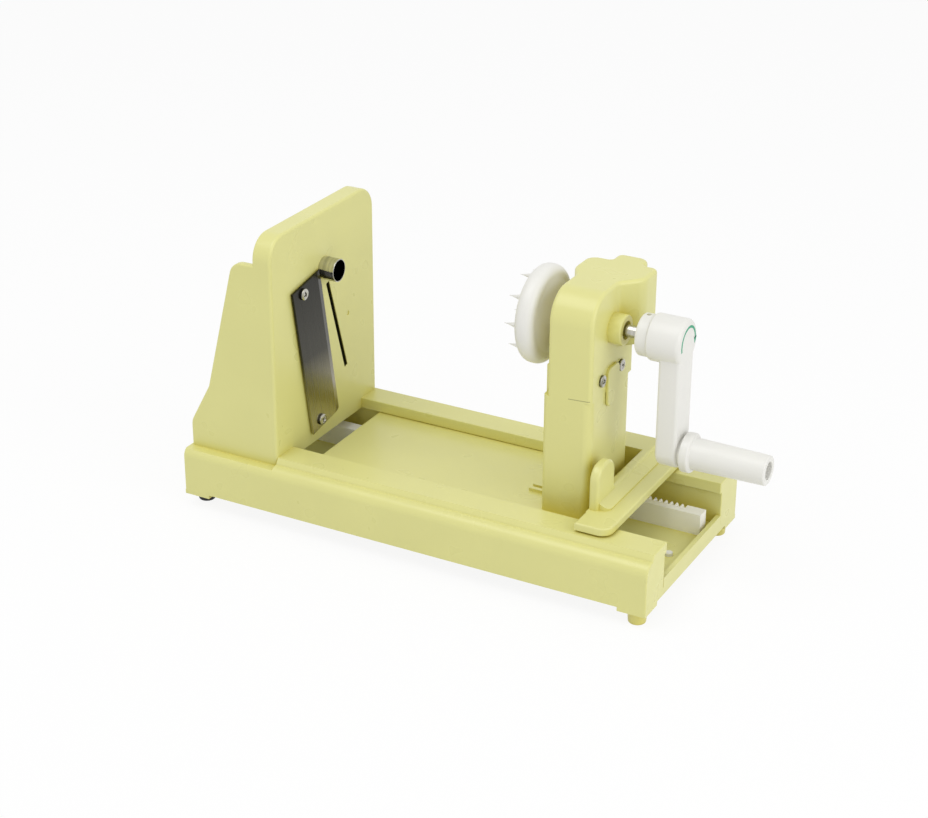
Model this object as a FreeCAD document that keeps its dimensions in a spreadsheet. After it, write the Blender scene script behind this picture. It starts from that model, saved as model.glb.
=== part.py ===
import FreeCAD, Part
import math
import os
import Sketcher
from FreeCAD import Placement, Rotation, Vector

# Spiralizer with crank: a base tray with a blade wall at its left end and, on its rails, a carriage
# whose headstock turns a spiked wheel by a hand crank.
# Frame: millimetres, X along the base towards the crank, Y to the back, Z up.
# The origin is the middle of the whole length and width, on the surface that the feet stand on.

doc = FreeCAD.newDocument("SpiralizerWithCrank")

# Driving dimensions, in millimetres, degrees or counts
SIZES = {
    # Base tray
    "BaseLength": 340, "BaseWidth": 147, "FootHeight": 9.2, "FootRadius": 6.25, "FootInset": 9,
    "LeftFootInset": 6.5, "LeftFootSide": 15.5, "BlockHeight": 2.7, "BlockLength": 19, "BlockWidth": 18,
    "LeftBlockWidth": 22,
    "ShoulderTop": 44.1, "ShoulderRadius": 7.4, "ShoulderWidth": 8, "RailTop": 48.1, "RailInset": 10.4,
    "LipGap": 87.6, "LipThickness": 7.8, "ChannelWidth": 92.6, "FloorTop": 17.2, "FloorThickness": 3,
    "SkirtWall": 3, "RibThickness": 2.5, "CoreTop": 38.7, "LedgeTop": 42.2,
    "EndLipHeight": 6.4, "EndLipThickness": 3, "CoreLength": 54, "TrayRound": 0.8, "LipRound": 0.6,
    # Blade wall
    "WallSetback": 69.3, "WallThickness": 13.7, "FacePlate": 4, "WallRim": 4, "WallWidth": 127.8,
    "WallRise": 39.4, "WallCornerRadius": 16, "WallEdgeRadius": 2, "WallUnderside": 40.6,
    "GussetThickness": 4, "GussetRise": 20.1, "GussetSetback": 1.1, "ToeHeight": 60.2,
    "KneeSetback": 16.5, "KneeHeight": 88.7, "BrowSetback": 39.5, "BrowRadius": 10, "ToeRadius": 12,
    "DeckThickness": 3, "GussetRound": 1.2, "WallBossRadius": 4.5, "WallBossHeight": 10, "BossRoof": 2,
    # Shaft axis, coring tube, blade and slits
    "AxisHeight": 161.4, "TubeRadius": 7.8, "TubeWall": 0.7, "TubeReach": 11.7, "TubeTail": 14,
    "TubeBossRadius": 11, "TubeBossLength": 5, "TubeNutLength": 3,
    "BladeWidth": 35, "BladeLength": 110.5, "BladeTilt": 10.3, "BladeThickness": 1.5,
    "BladeStandoff": 1, "BladeCornerSide": 42.3, "BladeCornerDrop": 4.4, "BevelWidth": 5,
    "BevelDepth": 1.2, "BladeNotch": 8.4, "BladeScrewInset": 11.3, "BladeScrewEnd": 5.6,
    "ThroatWidth": 7, "ThroatLength": 84, "ThroatEnd": 13,
    "SlitWidth": 3.9, "SlitLength": 72, "SlitTilt": 17, "SlitStart": 12.5, "SlitWall": 2, "SlitDepth": 7,
    "MarkSide": 28.4, "MarkDrop": 43, "MarkRadius": 1.6, "MarkDepth": 0.5,
    # Screws
    "ScrewRadius": 2, "ScrewHeadRadius": 3.9, "ScrewHeadHeight": 2.4, "SmallScrewRadius": 1.5,
    "SmallHeadRadius": 2.8, "SmallHeadHeight": 2, "CrossWidth": 0.9, "CrossLength": 4.4,
    "CrossDepth": 1.2,
    # Rack and pinion
    "RackSide": 25.5, "RackWidth": 9.5, "RackHeight": 14.5, "RackSetback": 20, "RackEndGap": 6,
    "TeethSetback": 108, "TeethWidth": 4.5, "ToothModule": 1.2, "PressureAngle": 25, "PinionTeeth": 12,
    "PinionWidth": 3.8, "PinionAxleRadius": 2, "PinionHeadRadius": 3.6, "PinionHeadHeight": 2,
    "AxleLugWidth": 10, "AxleLugDrop": 6.6,
    "MeshPlay": 0.06, "ToothPlay": 0.16, "PlugRadius": 2.5, "PlugHeight": 2.2,
    "PlugSide": 7.5, "PlugSetback": 13.2,
    # Carriage
    "PlatformStart": 83.5, "PlatformEnd": 290, "PlatformThickness": 3.8, "RunnerWidth": 3,
    "PlatformRib": 2.8, "PlatformRound": 0.6, "SlideClearance": 0.3, "FootRibHeight": 2, "FootRibWidth": 3,
    "FootRibLength": 18, "ColumnLeft": 246.6, "ColumnDepth": 32.9, "ColumnWidth": 60,
    "ColumnRadius": 5.5, "ColumnLeftRadius": 3, "SeamDrop": 40.7, "SpigotHeight": 20,
    "ColumnWall": 3, "CheekDrop": 22.2, "CheekThickness": 2.8, "HeadDepth": 30.1, "HeadRise": 27.8, "HeadWall": 3, "HeadFrontRadius": 20,
    "WingLeft": 6.2, "WingRight": 12, "WingStart": 6.5, "WingFull": 19, "WingBack": 40.5, "WingDrop": 15.2,
    "WingFrontRadius": 12, "WingLeftRadius": 8, "WingBlend": 6, "LobeLeft": 9.3, "LobeDepth": 21.9,
    "LobeBack": 52.3, "LobeRadius": 7, "HeadCornerRadius": 4.5, "LobeBlend": 2.5,
    "HeadRound": 2.5, "BossRound": 1, "TongueFront": 8.5,
    "TongueBack": 8, "TongueTop": 24.7, "TongueDrop": 51.2, "TongueThickness": 2, "TongueRadius": 4.5,
    "TongueRound": 0.8, "HeadScrewDrop": 30.2, "HeadScrewFront": 15.2, "HeadScrewBack": 13, "BossRadius": 9.8, "BossLength": 9,
    "BossRecess": 3, "TunnelRadius": 9,
    # Crossmember
    "FlangeLeft": 284.5, "FlangeRight": 307.5, "FlangeSide": 60, "FlangeBottom": 49.5,
    "FlangeThickness": 4.9, "FlangeCornerRadius": 8, "FlangeRound": 1.2, "SlopeRight": 297.5,
    "SlopeRound": 5, "SlopeStep": 0.9, "WebTop": 61.2, "EarTop": 83.2, "EarFront": 40, "EarWidth": 25,
    "EarRadius": 10, "EarBlend": 3, "EarThickness": 6.5, "EarRound": 2,
    "RearWallLeft": 254, "RearWallFront": 40, "RearWallThickness": 3,
    # Shaft, bushes and wheel
    "ShaftRadius": 4, "RunningFit": 0.06, "BushRadius": 6, "BushLength": 11, "BushFlange": 7.5,
    "BushFlangeThickness": 1.5, "WheelFace": 225, "WheelRadius": 32, "WheelThickness": 13,
    "WheelRound": 5.5, "WheelHubRadius": 9.4, "WheelHubLength": 8.6, "FlareRadius": 24, "FlareEnd": 12,
    "FlareLength": 3.2, "SpikeCount": 9,
    "SpikeCircle": 25.5, "SpikeStart": 100, "SpikeLength": 8, "SpikeRadius": 2.6, "SpikeTip": 0.2,
    "SpikeRoot": 1.5, "InnerSpikeCount": 5, "InnerSpikeCircle": 12.5, "InnerSpikeStart": 90,
    "WheelFront": 3.25, "PinRadius": 1.5, "WasherThickness": 1, "WasherRadius": 8.6,
    # Crank
    "CollarStart": 299, "CollarRadius": 13.5, "CollarLength": 8, "HubRadius": 15, "HubEnd": 329.5,
    "HubRound": 2, "CollarRound": 1,
    "ArmStart": 314.8, "ArmEnd": 329, "ArmWidth": 22.2, "ArmEndRadius": 10.9, "CrankThrow": 73,
    "ArmEdgeRadius": 2,
    "ShaftEndGap": 5, "HandleGap": 2, "SpacerRadius": 9, "RingRadius": 12.8, "RingThickness": 6,
    "GripRadius": 9.6, "GripRootRadius": 10.3, "GripLength": 49, "GripEndWall": 3.9, "GripHollow": 9, "HandlePinRadius": 4,
    "HandlePinDepth": 11, "HandleScrewHead": 4.2, "HandleScrewHeight": 3, "HandleWasherRadius": 5.2,
    "HandleWasherThickness": 0.8, "EndPlay": 0.3,
}


class Size:
    """A length together with the sheet formula that gives it."""

    def __init__(self, value, formula):
        self.value = float(value)
        self.formula = formula

    def __add__(self, other):
        other = size(other)
        return Size(self.value + other.value, f"({self.formula} + {other.formula})")

    def __sub__(self, other):
        other = size(other)
        return Size(self.value - other.value, f"({self.formula} - {other.formula})")

    def __mul__(self, other):
        other = size(other)
        return Size(self.value * other.value, f"({self.formula} * {other.formula})")

    def __truediv__(self, other):
        other = size(other)
        return Size(self.value / other.value, f"({self.formula} / {other.formula})")

    def __neg__(self):
        return Size(-self.value, f"(0 - {self.formula})")

    def __rsub__(self, other):
        return size(other) - self

    def __radd__(self, other):
        return size(other) + self

    def __rmul__(self, other):
        return size(other) * self


def size(thing):
    """A Size for a Size or a plain number."""
    if isinstance(thing, Size):
        return thing
    return Size(thing, repr(float(thing)))


def cosine(angle):
    """The cosine of an angle held in degrees."""
    return Size(math.cos(math.radians(angle.value)), f"cos({angle.formula} * 1 deg)")


def sine(angle):
    """The sine of an angle held in degrees."""
    return Size(math.sin(math.radians(angle.value)), f"sin({angle.formula} * 1 deg)")


class Sheet:
    """The driving dimensions by name."""


sheet = doc.addObject("Spreadsheet::Sheet", "Sizes")
S = Sheet()
for row, (word, number) in enumerate(SIZES.items(), 1):
    sheet.set(f"A{row}", word)
    sheet.set(f"B{row}", str(number))
    sheet.setAlias(f"B{row}", word)
    setattr(S, word, Size(number, f"Sizes.{word}"))
doc.recompute()

nodes = {}

TURNED = {
    "x": Rotation(Vector(0, 1, 0), 90),
    "y": Rotation(Vector(1, 0, 0), -90),
    "z": Rotation(),
}


def node(name, thing):
    """Registers an object as a sub-part under its own name."""
    thing.Label = name
    nodes[name] = thing
    return thing


def bind(thing, prop, value):
    """Binds a property to the formula of a size."""
    thing.setExpression(prop, size(value).formula)


def place(thing, x, y, z):
    """Binds the position of an object."""
    bind(thing, "Placement.Base.x", x)
    bind(thing, "Placement.Base.y", y)
    bind(thing, "Placement.Base.z", z)


def box(name, x, y, z):
    """A block between two values along each axis."""
    thing = doc.addObject("Part::Box", name)
    bind(thing, "Length", size(x[1]) - x[0])
    bind(thing, "Width", size(y[1]) - y[0])
    bind(thing, "Height", size(z[1]) - z[0])
    place(thing, x[0], y[0], z[0])
    return thing


def rod(name, axis, radius, start, length, centre):
    """A cylinder along an axis: centre holds the other two coordinates in X, Y, Z order."""
    thing = doc.addObject("Part::Cylinder", name)
    bind(thing, "Radius", radius)
    bind(thing, "Height", length)
    thing.Placement = Placement(Vector(), TURNED[axis])
    spot = list(centre)
    spot.insert("xyz".index(axis), start)
    place(thing, *spot)
    return thing


def cone(name, axis, radius, end_radius, start, length, centre):
    """A cone along an axis, with a radius at its start and one at its end."""
    thing = doc.addObject("Part::Cone", name)
    bind(thing, "Radius1", radius)
    bind(thing, "Radius2", end_radius)
    bind(thing, "Height", length)
    thing.Placement = Placement(Vector(), TURNED[axis])
    spot = list(centre)
    spot.insert("xyz".index(axis), start)
    place(thing, *spot)
    return thing


def fuse(name, *things):
    """The union of several objects."""
    thing = doc.addObject("Part::MultiFuse", name)
    thing.Shapes = list(things)
    thing.Refine = True
    return thing


def cut(name, base, *tools):
    """A base less one or more tools."""
    tool = tools[0] if len(tools) == 1 else fuse(name + "_tools", *tools)
    thing = doc.addObject("Part::Cut", name)
    thing.Base = base
    thing.Tool = tool
    return thing


def group(name, *things):
    """Several separate solids kept as one sub-part."""
    thing = doc.addObject("Part::Compound", name)
    thing.Links = list(things)
    return thing


def new_body(name):
    """An empty body that becomes a sub-part."""
    return node(name, doc.addObject("PartDesign::Body", name))


def settle(body):
    """Brings a body up to date and returns its last feature, or stops where a feature failed."""
    doc.recompute()
    for feature in body.Group:
        if "Invalid" in feature.State or "Error" in feature.State:
            raise RuntimeError(f"{body.Label}: {feature.Name} failed")
    return body.Tip


def turned_body(name, height, profile):
    """A body turned about a line along X at a height: the profile holds places and radii."""
    body = doc.addObject("PartDesign::Body", name)
    bind(body, "Placement.Base.z", height)
    sketch = draw(body, name + "Profile", "XZ", 0, [profile])
    feature = body.newObject("PartDesign::Revolution", name + "Turned")
    feature.Profile = sketch
    feature.ReferenceAxis = (origin_plane(body, "X_Axis"), [""])
    feature.Angle = 360
    sketch.Visibility = False
    return body


def round_rims(body, name, radius, rims):
    """Rounds the circular edges of the body's tip that lie at the given pairs of place and radius."""
    tip = settle(body)
    names = []
    for number, edge in enumerate(tip.Shape.Edges, 1):
        if edge.Curve.TypeId != "Part::GeomCircle":
            continue
        for x, rim_radius in rims:
            same_place = abs(edge.Curve.Center.x - size(x).value) < 0.01
            if same_place and abs(edge.Curve.Radius - size(rim_radius).value) < 0.01:
                names.append(f"Edge{number}")
    if not names:
        raise RuntimeError(f"no rims for {name}")
    feature = body.newObject("PartDesign::Fillet", name)
    feature.Base = (tip, names)
    bind(feature, "Radius", radius)
    return feature


def origin_plane(body, role):
    """One of a body's own origin planes."""
    return [item for item in body.Origin.OriginFeatures if item.Role == role][0]


def draw(body, name, plane, offset, outlines, circles=()):
    """A sketch on an origin plane, of closed outlines and circles that are bound to the sheet."""
    sketch = body.newObject("Sketcher::SketchObject", name)
    sketch.AttachmentSupport = (origin_plane(body, plane + "_Plane"), [""])
    sketch.MapMode = "FlatFace"
    bind(sketch, "AttachmentOffset.Base.z", offset)
    joints, rules = [], []
    for outline in outlines:
        corners = [(size(a), size(b)) for a, b in outline]
        spots = [Vector(a.value, b.value, 0) for a, b in corners]
        first, count = sketch.GeometryCount, len(corners)
        sketch.addGeometry([Part.LineSegment(spots[index], spots[(index + 1) % count])
                            for index in range(count)])
        for index, (a, b) in enumerate(corners):
            follower = first + (index + 1) % count
            joints.append(Sketcher.Constraint("Coincident", first + index, 2, follower, 1))
            rules.append((Sketcher.Constraint("DistanceX", -1, 1, first + index, 1, a.value), a))
            rules.append((Sketcher.Constraint("DistanceY", -1, 1, first + index, 1, b.value), b))
    for (a, b), radius in circles:
        a, b, radius = size(a), size(b), size(radius)
        number = sketch.addGeometry(
            Part.Circle(Vector(a.value, b.value, 0), Vector(0, 0, 1), radius.value))
        rules.append((Sketcher.Constraint("DistanceX", -1, 1, number, 3, a.value), a))
        rules.append((Sketcher.Constraint("DistanceY", -1, 1, number, 3, b.value), b))
        rules.append((Sketcher.Constraint("Radius", number, radius.value), radius))
    sketch.addConstraint(joints + [rule for rule, value in rules])
    for number, (rule, value) in enumerate(rules, len(joints)):
        if "Sizes" in value.formula:
            sketch.setExpression(f"Constraints[{number}]", value.formula)
    return sketch


def extrude(body, kind, name, sketch, length, backwards=False):
    """A pad or pocket of a sketch, along the sketch's normal or against it."""
    feature = body.newObject(kind, name)
    feature.Profile = sketch
    feature.Type = 0
    bind(feature, "Length", length)
    feature.Reversed = backwards
    sketch.Visibility = False
    return feature


def pad(body, name, plane, outlines, start, end, circles=()):
    """Prisms between two values along the normal of an origin plane."""
    start, end = size(start), size(end)
    offset = -start if plane == "XZ" else start
    sketch = draw(body, name + "Sketch", plane, offset, outlines, circles)
    return extrude(body, "PartDesign::Pad", name, sketch, end - start, plane == "XZ")


def pocket(body, name, plane, outlines, start, end, circles=()):
    """Prisms cut away between two values along the normal of an origin plane."""
    settle(body)
    before = body.Shape.Volume
    start, end = size(start), size(end)
    offset = -start if plane == "XZ" else end
    sketch = draw(body, name + "Sketch", plane, offset, outlines, circles)
    feature = extrude(body, "PartDesign::Pocket", name, sketch, end - start)
    doc.recompute()
    if body.Shape.Volume >= before - 1e-6:
        raise RuntimeError(f"{body.Label}: {name} removed nothing")
    return feature


def drill(body, name, plane, spots, radius, start, end):
    """Round holes between two values along the normal of an origin plane."""
    return pocket(body, name, plane, (), start, end, [(spot, radius) for spot in spots])


def stud(body, name, plane, spots, radius, start, end):
    """Round pads between two values along the normal of an origin plane."""
    return pad(body, name, plane, (), start, end, [(spot, radius) for spot in spots])


def rectangle(a, b):
    """The four corners between two values along each sketch axis."""
    return [(a[0], b[0]), (a[1], b[0]), (a[1], b[1]), (a[0], b[1])]


def find_edges(shape, axis, spots):
    """Names of the straight edges along an axis that pass through any of the given spots.

    A spot is a pair of values for the other two coordinates, or None for any value.
    """
    others = [index for index in range(3) if index != "xyz".index(axis)]
    names = []
    for number, edge in enumerate(shape.Edges, 1):
        if edge.Curve.TypeId != "Part::GeomLine":
            continue
        direction = edge.tangentAt(edge.FirstParameter)
        if abs(abs(direction["xyz".index(axis)]) - 1) > 1e-4:
            continue
        middle = edge.CenterOfMass
        for spot in spots:
            fits = [want is None or abs(middle[index] - size(want).value) < 0.02
                    for index, want in zip(others, spot)]
            if all(fits):
                names.append(f"Edge{number}")
                break
    return names


def round_edges(body, name, radius, axis, spots):
    """Rounds the edges of the body's tip that lie along an axis at the given spots."""
    tip = settle(body)
    names = find_edges(tip.Shape, axis, spots)
    if not names:
        raise RuntimeError(f"no edges for {name}")
    feature = body.newObject("PartDesign::Fillet", name)
    feature.Base = (tip, names)
    bind(feature, "Radius", radius)
    return feature


def round_flat_edges(body, name, radius, axis, places, **limits):
    """Rounds the edges of the body's tip that lie in planes across an axis.

    A limit, such as z=(low, high), is for the middle of an edge; either end of it may be None.
    """
    tip = settle(body)
    names = []
    for number, edge in enumerate(tip.Shape.Edges, 1):
        bounds = edge.BoundBox
        low = dict(zip("xyz", (bounds.XMin, bounds.YMin, bounds.ZMin)))
        high = dict(zip("xyz", (bounds.XMax, bounds.YMax, bounds.ZMax)))
        flat = [place for place in places
                if max(abs(low[axis] - size(place).value), abs(high[axis] - size(place).value)) < 0.01]
        inside = [(start is None or (low[way] + high[way]) / 2 > size(start).value)
                  and (end is None or (low[way] + high[way]) / 2 < size(end).value)
                  for way, (start, end) in limits.items()]
        if flat and all(inside):
            names.append(f"Edge{number}")
    if not names:
        raise RuntimeError(f"no edges for {name}")
    feature = body.newObject("PartDesign::Fillet", name)
    feature.Base = (tip, names)
    bind(feature, "Radius", radius)
    return feature


def screw(name, axis, radius, head_radius, head_height, seat, length, centre, sign=1, cross=False):
    """A pan head screw: seat is the face under its head, and sign points from the head to the tip."""
    low = size(seat) if sign > 0 else size(seat) - length
    head_low = size(seat) - head_height if sign > 0 else size(seat)
    shank = rod(name + "_shank", axis, radius, low, length, centre)
    head = rod(name + "_head", axis, head_radius, head_low, head_height, centre)
    whole = fuse(name, shank, head)
    if not cross:
        return whole
    face = size(seat) - head_height if sign > 0 else size(seat) + head_height
    deep = (face, face + S.CrossDepth) if sign > 0 else (face - S.CrossDepth, face)
    a, b = size(centre[0]), size(centre[1])
    long_a = (a - S.CrossLength / 2, a + S.CrossLength / 2)
    slim_a = (a - S.CrossWidth / 2, a + S.CrossWidth / 2)
    long_b = (b - S.CrossLength / 2, b + S.CrossLength / 2)
    slim_b = (b - S.CrossWidth / 2, b + S.CrossWidth / 2)
    spans = {"x": [(deep, long_a, slim_b), (deep, slim_a, long_b)],
             "z": [(long_a, slim_b, deep), (slim_a, long_b, deep)]}
    slots = [box(f"{name}_slot{index}", *span) for index, span in enumerate(spans[axis], 1)]
    return cut(name + "_recessed", whole, *slots)


# Places that several pieces share
overall = S.ArmEnd + S.HandleGap + S.EndPlay + S.RingThickness + S.GripLength
left_end = -overall / 2
right_end = left_end + S.BaseLength
half_width = S.BaseWidth / 2
tray_bottom = S.FootHeight + S.BlockHeight
lip_side = S.LipGap / 2
channel_side = S.ChannelWidth / 2
lip_bottom = S.RailTop - S.LipThickness
floor_bottom = S.FloorTop - S.FloorThickness
wall_face = left_end + S.WallSetback
wall_back = wall_face - S.WallThickness
wall_side = S.WallWidth / 2
rail_core_inside = channel_side + S.SkirtWall
rail_core_outside = half_width - S.SkirtWall
left_foot_side = half_width - S.LeftFootSide
right_foot_side = half_width - S.FootInset
foot_spots = [(left_end + S.LeftFootInset, -left_foot_side), (left_end + S.LeftFootInset, left_foot_side),
              (right_end - S.FootInset, -right_foot_side), (right_end - S.FootInset, right_foot_side)]
rack_middle = S.RackSide + S.RackWidth / 2
rack_top = S.FloorTop + S.RackHeight
rack_start = left_end + S.RackSetback
rack_end = right_end - S.RackEndGap
column_left = left_end + S.ColumnLeft
column_right = column_left + S.ColumnDepth
column_side = S.ColumnWidth / 2
platform_start = left_end + S.PlatformStart
platform_end = left_end + S.PlatformEnd
platform_top = lip_bottom - S.SlideClearance
platform_bottom = platform_top - S.PlatformThickness
platform_side = channel_side - S.SlideClearance
pitch_radius = S.ToothModule * S.PinionTeeth / 2
pinion_x = column_left + S.ColumnDepth / 2
pinion_z = rack_top - S.ToothModule + pitch_radius + S.MeshPlay
pinion_front = column_side + S.SlideClearance * 2
head_left = column_left + S.CheekThickness
head_right = head_left + S.HeadDepth
head_middle = head_left + S.HeadDepth / 2
boss_end = head_right + S.BossLength
wall_top = S.AxisHeight + S.WallRise
gusset_top = S.AxisHeight + S.GussetRise
blade_corner = S.AxisHeight - S.BladeCornerDrop
head_top = S.AxisHeight + S.HeadRise
wing_bottom = S.AxisHeight - S.WingDrop
cheek_top = S.AxisHeight - S.CheekDrop
seam_height = S.AxisHeight - S.SeamDrop
head_screw_height = S.AxisHeight - S.HeadScrewDrop
tongue_bottom = S.AxisHeight - S.TongueDrop


def build_base_tray():
    """The moulded tray: two hollow rails with inward lips, a floor, open ends and corner blocks."""
    body = new_body("base_tray")
    step = S.RailInset - S.ShoulderWidth
    half = [
        (half_width, tray_bottom),
        (half_width, S.ShoulderTop),
        (half_width - S.ShoulderWidth, S.ShoulderTop),
        (half_width - S.ShoulderWidth - step / 4, S.ShoulderTop + step / 2),
        (half_width - S.RailInset, S.RailTop),
        (lip_side, S.RailTop),
        (lip_side, lip_bottom),
        (channel_side, lip_bottom),
        (channel_side, S.FloorTop),
    ]
    outline = half + [(-y, z) for y, z in reversed(half)]
    pad(body, "TraySection", "YZ", [outline], left_end, right_end)
    round_edges(body, "Shoulders", S.ShoulderRadius, "x",
                [(half_width, S.ShoulderTop), (-half_width, S.ShoulderTop)])
    round_edges(body, "LipEdges", S.LipRound, "x",
                [(side, z) for side in (-lip_side, lip_side) for z in (S.RailTop, lip_bottom)])
    round_flat_edges(body, "EndRims", S.TrayRound, "x", [left_end, right_end],
                     y=(None, -channel_side + S.LipRound))
    round_flat_edges(body, "BackEndRims", S.TrayRound, "x", [left_end, right_end],
                     y=(channel_side - S.LipRound, None))
    sides = [(-half_width, -channel_side + S.LipThickness), (channel_side - S.LipThickness, half_width)]
    pocket(body, "WallLedge", "YZ",
           [rectangle(side, (S.LedgeTop, S.RailTop + S.LipThickness)) for side in sides],
           left_end, wall_face)
    pad(body, "EndLip", "YZ",
        [rectangle((-channel_side, channel_side), (S.FloorTop, S.FloorTop + S.EndLipHeight))],
        right_end - S.EndLipThickness, right_end)
    blocks = []
    for x, width in ((left_end, S.LeftBlockWidth), (right_end - S.BlockLength, S.BlockWidth)):
        inner = half_width - width
        blocks += [rectangle((x, x + S.BlockLength), y)
                   for y in ((-half_width, -inner), (inner, half_width))]
    pad(body, "CornerBlocks", "XY", blocks, S.FootHeight, tray_bottom)
    spans = core_spans()
    rails = [(-rail_core_outside, -rail_core_inside), (rail_core_inside, rail_core_outside)]
    pocket(body, "RailCores", "XY", [rectangle(x, y) for x in spans for y in rails],
           tray_bottom, S.CoreTop)
    pocket(body, "FloorCores", "XY", [rectangle(x, (-channel_side, channel_side)) for x in spans],
           tray_bottom, floor_bottom)
    drill(body, "FootHoles", "XY", foot_spots, S.ScrewRadius, S.FootHeight,
          S.FootHeight + S.BlockHeight * 2)
    drill(body, "RackHoles", "XY", [(x, rack_middle) for x in rack_screw_places()],
          S.SmallScrewRadius + S.RunningFit, floor_bottom, S.FloorTop)
    drill(body, "WallHoles", "XY", wall_screw_places(), S.ScrewRadius + S.RunningFit,
          S.CoreTop, S.LedgeTop)
    drill(body, "PlugHole", "XY", [(right_end - S.PlugSetback, -S.PlugSide)],
          S.PlugRadius - S.CrossWidth, S.FloorTop - S.PlugHeight, S.FloorTop)


def core_spans():
    """The X spans of the cores under the rails and the floor, in a row with ribs between."""
    pitch = S.CoreLength + S.RibThickness
    cores = int((S.BaseLength.value - 2 * S.BlockLength.value) // pitch.value)
    first = (left_end + right_end - (pitch * cores - S.RibThickness)) / 2
    return [(first + pitch * number, first + pitch * number + S.CoreLength)
            for number in range(cores)]


def rack_screw_places():
    """The X places of the three screws that hold the rack, each in the middle of a core."""
    spans = core_spans()
    return [(start + end) / 2 for start, end in (spans[0], spans[len(spans) // 2], spans[-1])]


def wall_screw_places():
    """The places of the four screws that hold the blade wall."""
    side = (rail_core_inside + wall_side - S.GussetThickness) / 2
    return [(x, y) for x in (core_spans()[0][0] + S.WallBossRadius * 2, wall_back)
            for y in (-side, side)]


def blade_point(across, along):
    """A place on the blade's plane: across from its back edge, along it from its top edge."""
    c, s = cosine(S.BladeTilt), sine(S.BladeTilt)
    y = -S.BladeCornerSide + across * c + along * s
    z = blade_corner + across * s - along * c
    return y, z


def blade_screw_places():
    """The places, in Y and Z, of the two screws that hold the blade."""
    return [blade_point(S.BladeScrewInset, S.BladeScrewEnd),
            blade_point(S.BladeScrewInset, S.BladeLength - S.BladeScrewEnd)]


def build_blade_wall():
    """The upright moulding: a rimmed face plate, two gussets, a deck and its screw bosses."""
    body = new_body("blade_wall")
    foot_side = lip_side - S.SlideClearance
    pad(body, "Slab", "YZ",
        [[(-wall_side, S.LedgeTop), (-foot_side, S.LedgeTop), (-foot_side, S.WallUnderside),
          (foot_side, S.WallUnderside), (foot_side, S.LedgeTop), (wall_side, S.LedgeTop),
          (wall_side, wall_top), (-wall_side, wall_top)]], wall_back, wall_face)
    round_edges(body, "TopCorners", S.WallCornerRadius, "x",
                [(wall_side, wall_top), (-wall_side, wall_top)])
    round_flat_edges(body, "FaceRim", S.WallEdgeRadius, "x", [wall_face],
                     z=(S.LedgeTop + S.WallRim, None))
    inner_side = wall_side - S.WallRim
    corner = S.WallCornerRadius - S.WallRim
    pocket(body, "RimInside", "YZ",
           [[(-inner_side, S.LedgeTop + S.DeckThickness), (inner_side, S.LedgeTop + S.DeckThickness),
             (inner_side, wall_top - S.WallRim - corner),
             (inner_side - corner, wall_top - S.WallRim),
             (-inner_side + corner, wall_top - S.WallRim),
             (-inner_side, wall_top - S.WallRim - corner)]],
           wall_back, wall_face - S.FacePlate)
    toe = left_end + S.GussetSetback
    knee = left_end + S.KneeSetback
    brow = left_end + S.BrowSetback
    joint = wall_back + S.WallRim
    profile = [(toe, S.LedgeTop), (joint, S.LedgeTop), (joint, gusset_top), (brow, gusset_top),
               (knee, S.KneeHeight), (toe, S.ToeHeight)]
    sides = [("FrontGusset", -wall_side, -wall_side + S.GussetThickness),
             ("BackGusset", wall_side - S.GussetThickness, wall_side)]
    for title, start, end in sides:
        pad(body, title, "XZ", [profile], start, end)
    round_edges(body, "Brows", S.BrowRadius, "y", [(brow, gusset_top)])
    round_edges(body, "Toes", S.ToeRadius, "y", [(toe, S.ToeHeight)])
    round_flat_edges(body, "GussetRims", S.GussetRound, "y", [wall_side, -wall_side],
                     x=(None, wall_back), z=(S.LedgeTop + S.DeckThickness, None))
    inner = wall_side - S.GussetThickness
    pad(body, "Deck", "XY", [rectangle((toe, joint), (-inner, inner))],
        S.LedgeTop, S.LedgeTop + S.DeckThickness)
    boss_top = S.LedgeTop + S.WallBossHeight
    stud(body, "FootBosses", "XY", wall_screw_places(), S.WallBossRadius, S.LedgeTop, boss_top)
    # Bosses behind the face plate for the tube and the blade screws, and pads that lift the blade
    plate_back = wall_face - S.FacePlate
    boss_back = plate_back - S.TubeBossLength
    axis = [(0, S.AxisHeight)]
    stud(body, "TubeBoss", "YZ", axis, S.TubeBossRadius, boss_back, plate_back)
    stud(body, "ScrewBosses", "YZ", blade_screw_places(), S.WallBossRadius, boss_back, plate_back)
    stud(body, "BladePads", "YZ", blade_screw_places(), S.WallBossRadius,
         wall_face, wall_face + S.BladeStandoff)
    drill(body, "FootThreads", "XY", wall_screw_places(), S.ScrewRadius,
          S.LedgeTop, boss_top - S.BossRoof)
    drill(body, "TubeHole", "YZ", axis, S.TubeRadius, boss_back, wall_face)
    drill(body, "BladeThreads", "YZ", blade_screw_places(), S.ScrewRadius,
          boss_back, wall_face + S.BladeStandoff)
    pad(body, "SlitHousing", "YZ", [slit_outline(S.SlitWall)],
        wall_face - S.SlitDepth - S.SlitWall, plate_back)
    pocket(body, "Throat", "YZ", [throat_outline()], plate_back, wall_face)
    pocket(body, "Slit", "YZ", [slit_outline(0)], wall_face - S.SlitDepth, wall_face)
    drill(body, "Mark", "YZ", [(S.MarkSide, S.AxisHeight - S.MarkDrop)], S.MarkRadius,
          wall_face - S.MarkDepth, wall_face)


def throat_outline():
    """The opening behind the blade's edge that the slices pass through."""
    across = S.BladeWidth - S.CrossLength
    return [blade_point(across - S.ThroatWidth, S.ThroatEnd),
            blade_point(across, S.ThroatEnd),
            blade_point(across, S.ThroatEnd + S.ThroatLength),
            blade_point(across - S.ThroatWidth, S.ThroatEnd + S.ThroatLength)]


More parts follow.
